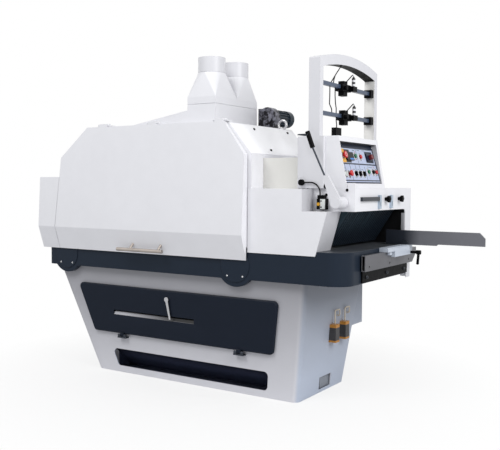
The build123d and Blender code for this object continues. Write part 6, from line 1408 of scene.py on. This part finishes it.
class SAW_OT_lift_drive(Operator):
    """Stands the gear case and the motor in for the lift drive's CAD node"""

    bl_idname = "saw.lift_drive"
    bl_label = "Lift drive"

    def execute(self, context):
        split_node("lift_motor", beyond(1, LIFT_MOTOR_START, "motor", "gear"), {
            "gear": ("gear_skin", "motor_paint"), "motor": ("motor_paint", "motor_paint"),
        })
        return {"FINISHED"}


class SAW_OT_rail_and_gauge(Operator):
    """Stands the rail, its mount, the gauge bar, its stops and posts in for their CAD nodes"""

    bl_idname = "saw.rail_and_gauge"
    bl_label = "Rail and gauge"

    def execute(self, context):
        split_node("front_rail", beyond(0, RAIL_BACK_X, "rail", "mount"), {
            "rail": ("ground_rail", "ground_steel"), "mount": ("black_plastic", "dark_paint"),
        })
        split_node("gauge_bars", choose_gauge, {
            "bar": ("gauge_steel", "dark_steel"), "stops": ("stop_steel", "ground_steel"),
            "posts": ("black_plastic", "black_plastic"),
        })
        return {"FINISHED"}


class SAW_OT_lubricators(Operator):
    """Stands the banded lubricators and their tubes in for their CAD node"""

    bl_idname = "saw.lubricators"
    bl_label = "Lubricators"

    def execute(self, context):
        split_node("lube_units", choose_lubricator, {
            "units": ("lubricator", "lubricator"), "tubes": ("oil_tube", "white_plastic"),
        })
        return {"FINISHED"}


class SAW_OT_limit_switch(Operator):
    """Stands the switch case, its lead and roller in for their CAD node and adds the pale cover"""

    bl_idname = "saw.limit_switch"
    bl_label = "Limit switch"

    def execute(self, context):
        split_node("limit_switch", choose_switch, {
            "case": ("black_plastic", "black_plastic"), "lead": ("rubber", "black_plastic"),
            "roller": ("yellow_plastic", "black_plastic"),
        })
        finished(switch_cover_mesh(), "switch_cover", "frame", "white_plastic", "white_plastic")
        add_fasteners(make_fastener_tree(), context.scene.saw_fittings, COVER_FASTENERS)
        return {"FINISHED"}


class SAW_OT_fasteners(Operator):
    """Adds the bolts and screws that show on the bed, the sheet panels, the rail and the faceplate"""

    bl_idname = "saw.fasteners"
    bl_label = "Fasteners"

    def execute(self, context):
        add_fasteners(bpy.data.node_groups["fastener_rank"], context.scene.saw_fittings, FASTENERS)
        return {"FINISHED"}


class SAW_OT_control_rings(Operator):
    """Adds the bright rings round the selectors, the buttons and the mushroom stop"""

    bl_idname = "saw.control_rings"
    bl_label = "Control rings"

    def execute(self, context):
        sizes = context.scene.saw_fittings
        seats = [on_panel(across, up, RING_LIFT) for across, up in RINGED_CONTROLS]
        mesh = grown_mesh("control_rings", make_ring_tree(), seats, {
            "Ring radius": sizes.control_ring, "Wire radius": sizes.ring_wire,
            "Finish": finish_of("ring_painted_reflection"),
        })
        mesh.shade_smooth()
        finished(mesh, "control_rings", "frame", "ring_painted_reflection", "aluminium")
        return {"FINISHED"}


# Stage


# Lamps, in metres: place, the point that they look at, and their side
KEY_LAMP = ((-1.3, -4.6, 6.2), (0.0, -0.2, 1.0), 3.0)
FILL_LAMP = ((4.8, -1.4, 3.6), (0.6, 0.0, 0.9), 2.5)
ROOM_LIGHT = (0.95, 0.97, 1.0, 1.0)
FLOOR_GREY = (0.75, 0.75, 0.76, 1.0)
# The floor clears into the white room between these distances from the middle, from this share
FLOOR_FADE = (0.5, 1.8)
FLOOR_CLEAR = 0.74


def add_camera(stage):
    """The camera at the photograph's angle."""
    camera = bpy.data.cameras.new("photo_camera")
    camera.sensor_fit = "HORIZONTAL"
    camera.sensor_width = 36.0
    camera.lens = stage.lens
    camera.clip_end = 60.0
    holder = linked("photo_camera", camera)
    turn = Matrix.Rotation(stage.camera_yaw, 4, "Z")
    tilt = Matrix.Rotation(math.radians(90.0) - stage.camera_tilt, 4, "X")
    roll = Matrix.Rotation(stage.camera_roll, 4, "Z")
    holder.matrix_world = Matrix.Translation(stage.camera_place) @ turn @ tilt @ roll
    bpy.context.scene.camera = holder


def add_lamp(name, power, place, target, size):
    """A large square lamp that looks at a point."""
    lamp = bpy.data.lights.new(name, "AREA")
    lamp.shape = "SQUARE"
    lamp.size = size
    lamp.energy = power
    away = Vector(target) - Vector(place)
    turn = away.to_track_quat("-Z", "Y").to_matrix().to_4x4()
    linked(name, lamp).matrix_world = Matrix.Translation(place) @ turn


def add_room(stage):
    """A white room for the camera and reflections, with softer light on the object."""
    world = bpy.data.worlds.new("white_room")
    bpy.context.scene.world = world
    world.use_nodes = True
    world.node_tree.nodes.clear()
    tree = Tree(world.node_tree)
    rays = tree.add("ShaderNodeLightPath").outputs
    seen = tree.math("MAXIMUM", rays["Is Camera Ray"], rays["Is Glossy Ray"])
    seen = tree.math("MAXIMUM", seen, rays["Is Transmission Ray"])
    white = tree.add("ShaderNodeBackground", {"Color": WHITE, "Strength": 1.0})
    soft = tree.add("ShaderNodeBackground", {"Color": ROOM_LIGHT, "Strength": stage.sky_strength})
    both = tree.add("ShaderNodeMixShader", {0: seen, 1: soft.outputs[0], 2: white.outputs[0]})
    tree.add("ShaderNodeOutputWorld", {"Surface": both.outputs[0]})


def add_floor(stage):
    """A pale floor that takes the shadow and fades into the white room."""
    half = stage.floor_size / 2
    mesh = bpy.data.meshes.new("floor")
    mesh.from_pydata([(-half, -half, 0), (half, -half, 0), (half, half, 0), (-half, half, 0)], [], [(0, 1, 2, 3)])
    tree, surface = new_material("pale_floor")
    apart = tree.measure("LENGTH", tree.place())
    seen = tree.add("ShaderNodeLightPath").outputs["Is Camera Ray"]
    fade = tree.product(seen, tree.ranged(apart, *FLOOR_FADE, FLOOR_CLEAR, 1.0))
    matte = tree.add("ShaderNodeBsdfDiffuse", {"Color": FLOOR_GREY})
    clear = tree.add("ShaderNodeBsdfTransparent")
    both = tree.add("ShaderNodeMixShader", {0: fade, 1: matte.outputs[0], 2: clear.outputs[0]})
    tree.feed(surface, both.outputs[0])
    give_finish(mesh, "pale_floor")
    floor = linked("floor", mesh)


class SAW_OT_stage(Operator):
    """Sets the camera, the lamps, the white room and the floor"""

    bl_idname = "saw.stage"
    bl_label = "Stage"

    def execute(self, context):
        stage = context.scene.saw_stage
        add_camera(stage)
        add_lamp("key_lamp", stage.key_power, *KEY_LAMP)
        add_lamp("fill_lamp", stage.fill_power, *FILL_LAMP)
        add_room(stage)
        add_floor(stage)
        context.scene.view_settings.view_transform = "Standard"
        return {"FINISHED"}


class SAW_PT_looks(Panel):
    """Looks of the saw"""

    bl_label = "Rip saw looks"
    bl_idname = "SAW_PT_looks"
    bl_space_type = "VIEW_3D"
    bl_region_type = "UI"
    bl_category = "Rip saw"

    def draw(self, context):
        for group in (context.scene.saw_colours, context.scene.saw_fittings, context.scene.saw_stage):
            box = self.layout.box()
            for key in group.__annotations__:
                box.prop(group, key)
        for step in STEPS:
            self.layout.operator(step.bl_idname)


GROUPS = (("saw_colours", SawColours), ("saw_fittings", SawFittings), ("saw_stage", SawStage))
STEPS = (
    SAW_OT_finishes, SAW_OT_sheet_metal, SAW_OT_base_and_bed, SAW_OT_running_gear, SAW_OT_controls, SAW_OT_faceplate,
    SAW_OT_laser_works, SAW_OT_lever_works, SAW_OT_lift_drive, SAW_OT_rail_and_gauge, SAW_OT_lubricators,
    SAW_OT_limit_switch, SAW_OT_fasteners, SAW_OT_control_rings, SAW_OT_stage,
)


def register():
    """Adds the properties, the operators and the panel."""
    for key, group in GROUPS:
        bpy.utils.register_class(group)
        setattr(bpy.types.Scene, key, PointerProperty(type=group))
    for step in STEPS:
        bpy.utils.register_class(step)
    bpy.utils.register_class(SAW_PT_looks)


def unregister():
    """Takes the panel, the operators and the properties away."""
    bpy.utils.unregister_class(SAW_PT_looks)
    for step in reversed(STEPS):
        bpy.utils.unregister_class(step)
    for key, group in reversed(GROUPS):
        delattr(bpy.types.Scene, key)
        bpy.utils.unregister_class(group)


def main():
    """Runs every step in order."""
    register()
    bpy.ops.saw.finishes()
    bpy.ops.saw.sheet_metal()
    bpy.ops.saw.base_and_bed()
    bpy.ops.saw.running_gear()
    bpy.ops.saw.controls()
    bpy.ops.saw.faceplate()
    bpy.ops.saw.laser_works()
    bpy.ops.saw.lever_works()
    bpy.ops.saw.lift_drive()
    bpy.ops.saw.rail_and_gauge()
    bpy.ops.saw.lubricators()
    bpy.ops.saw.limit_switch()
    bpy.ops.saw.fasteners()
    bpy.ops.saw.control_rings()
    bpy.ops.saw.stage()


if __name__ == "__main__":
    main()
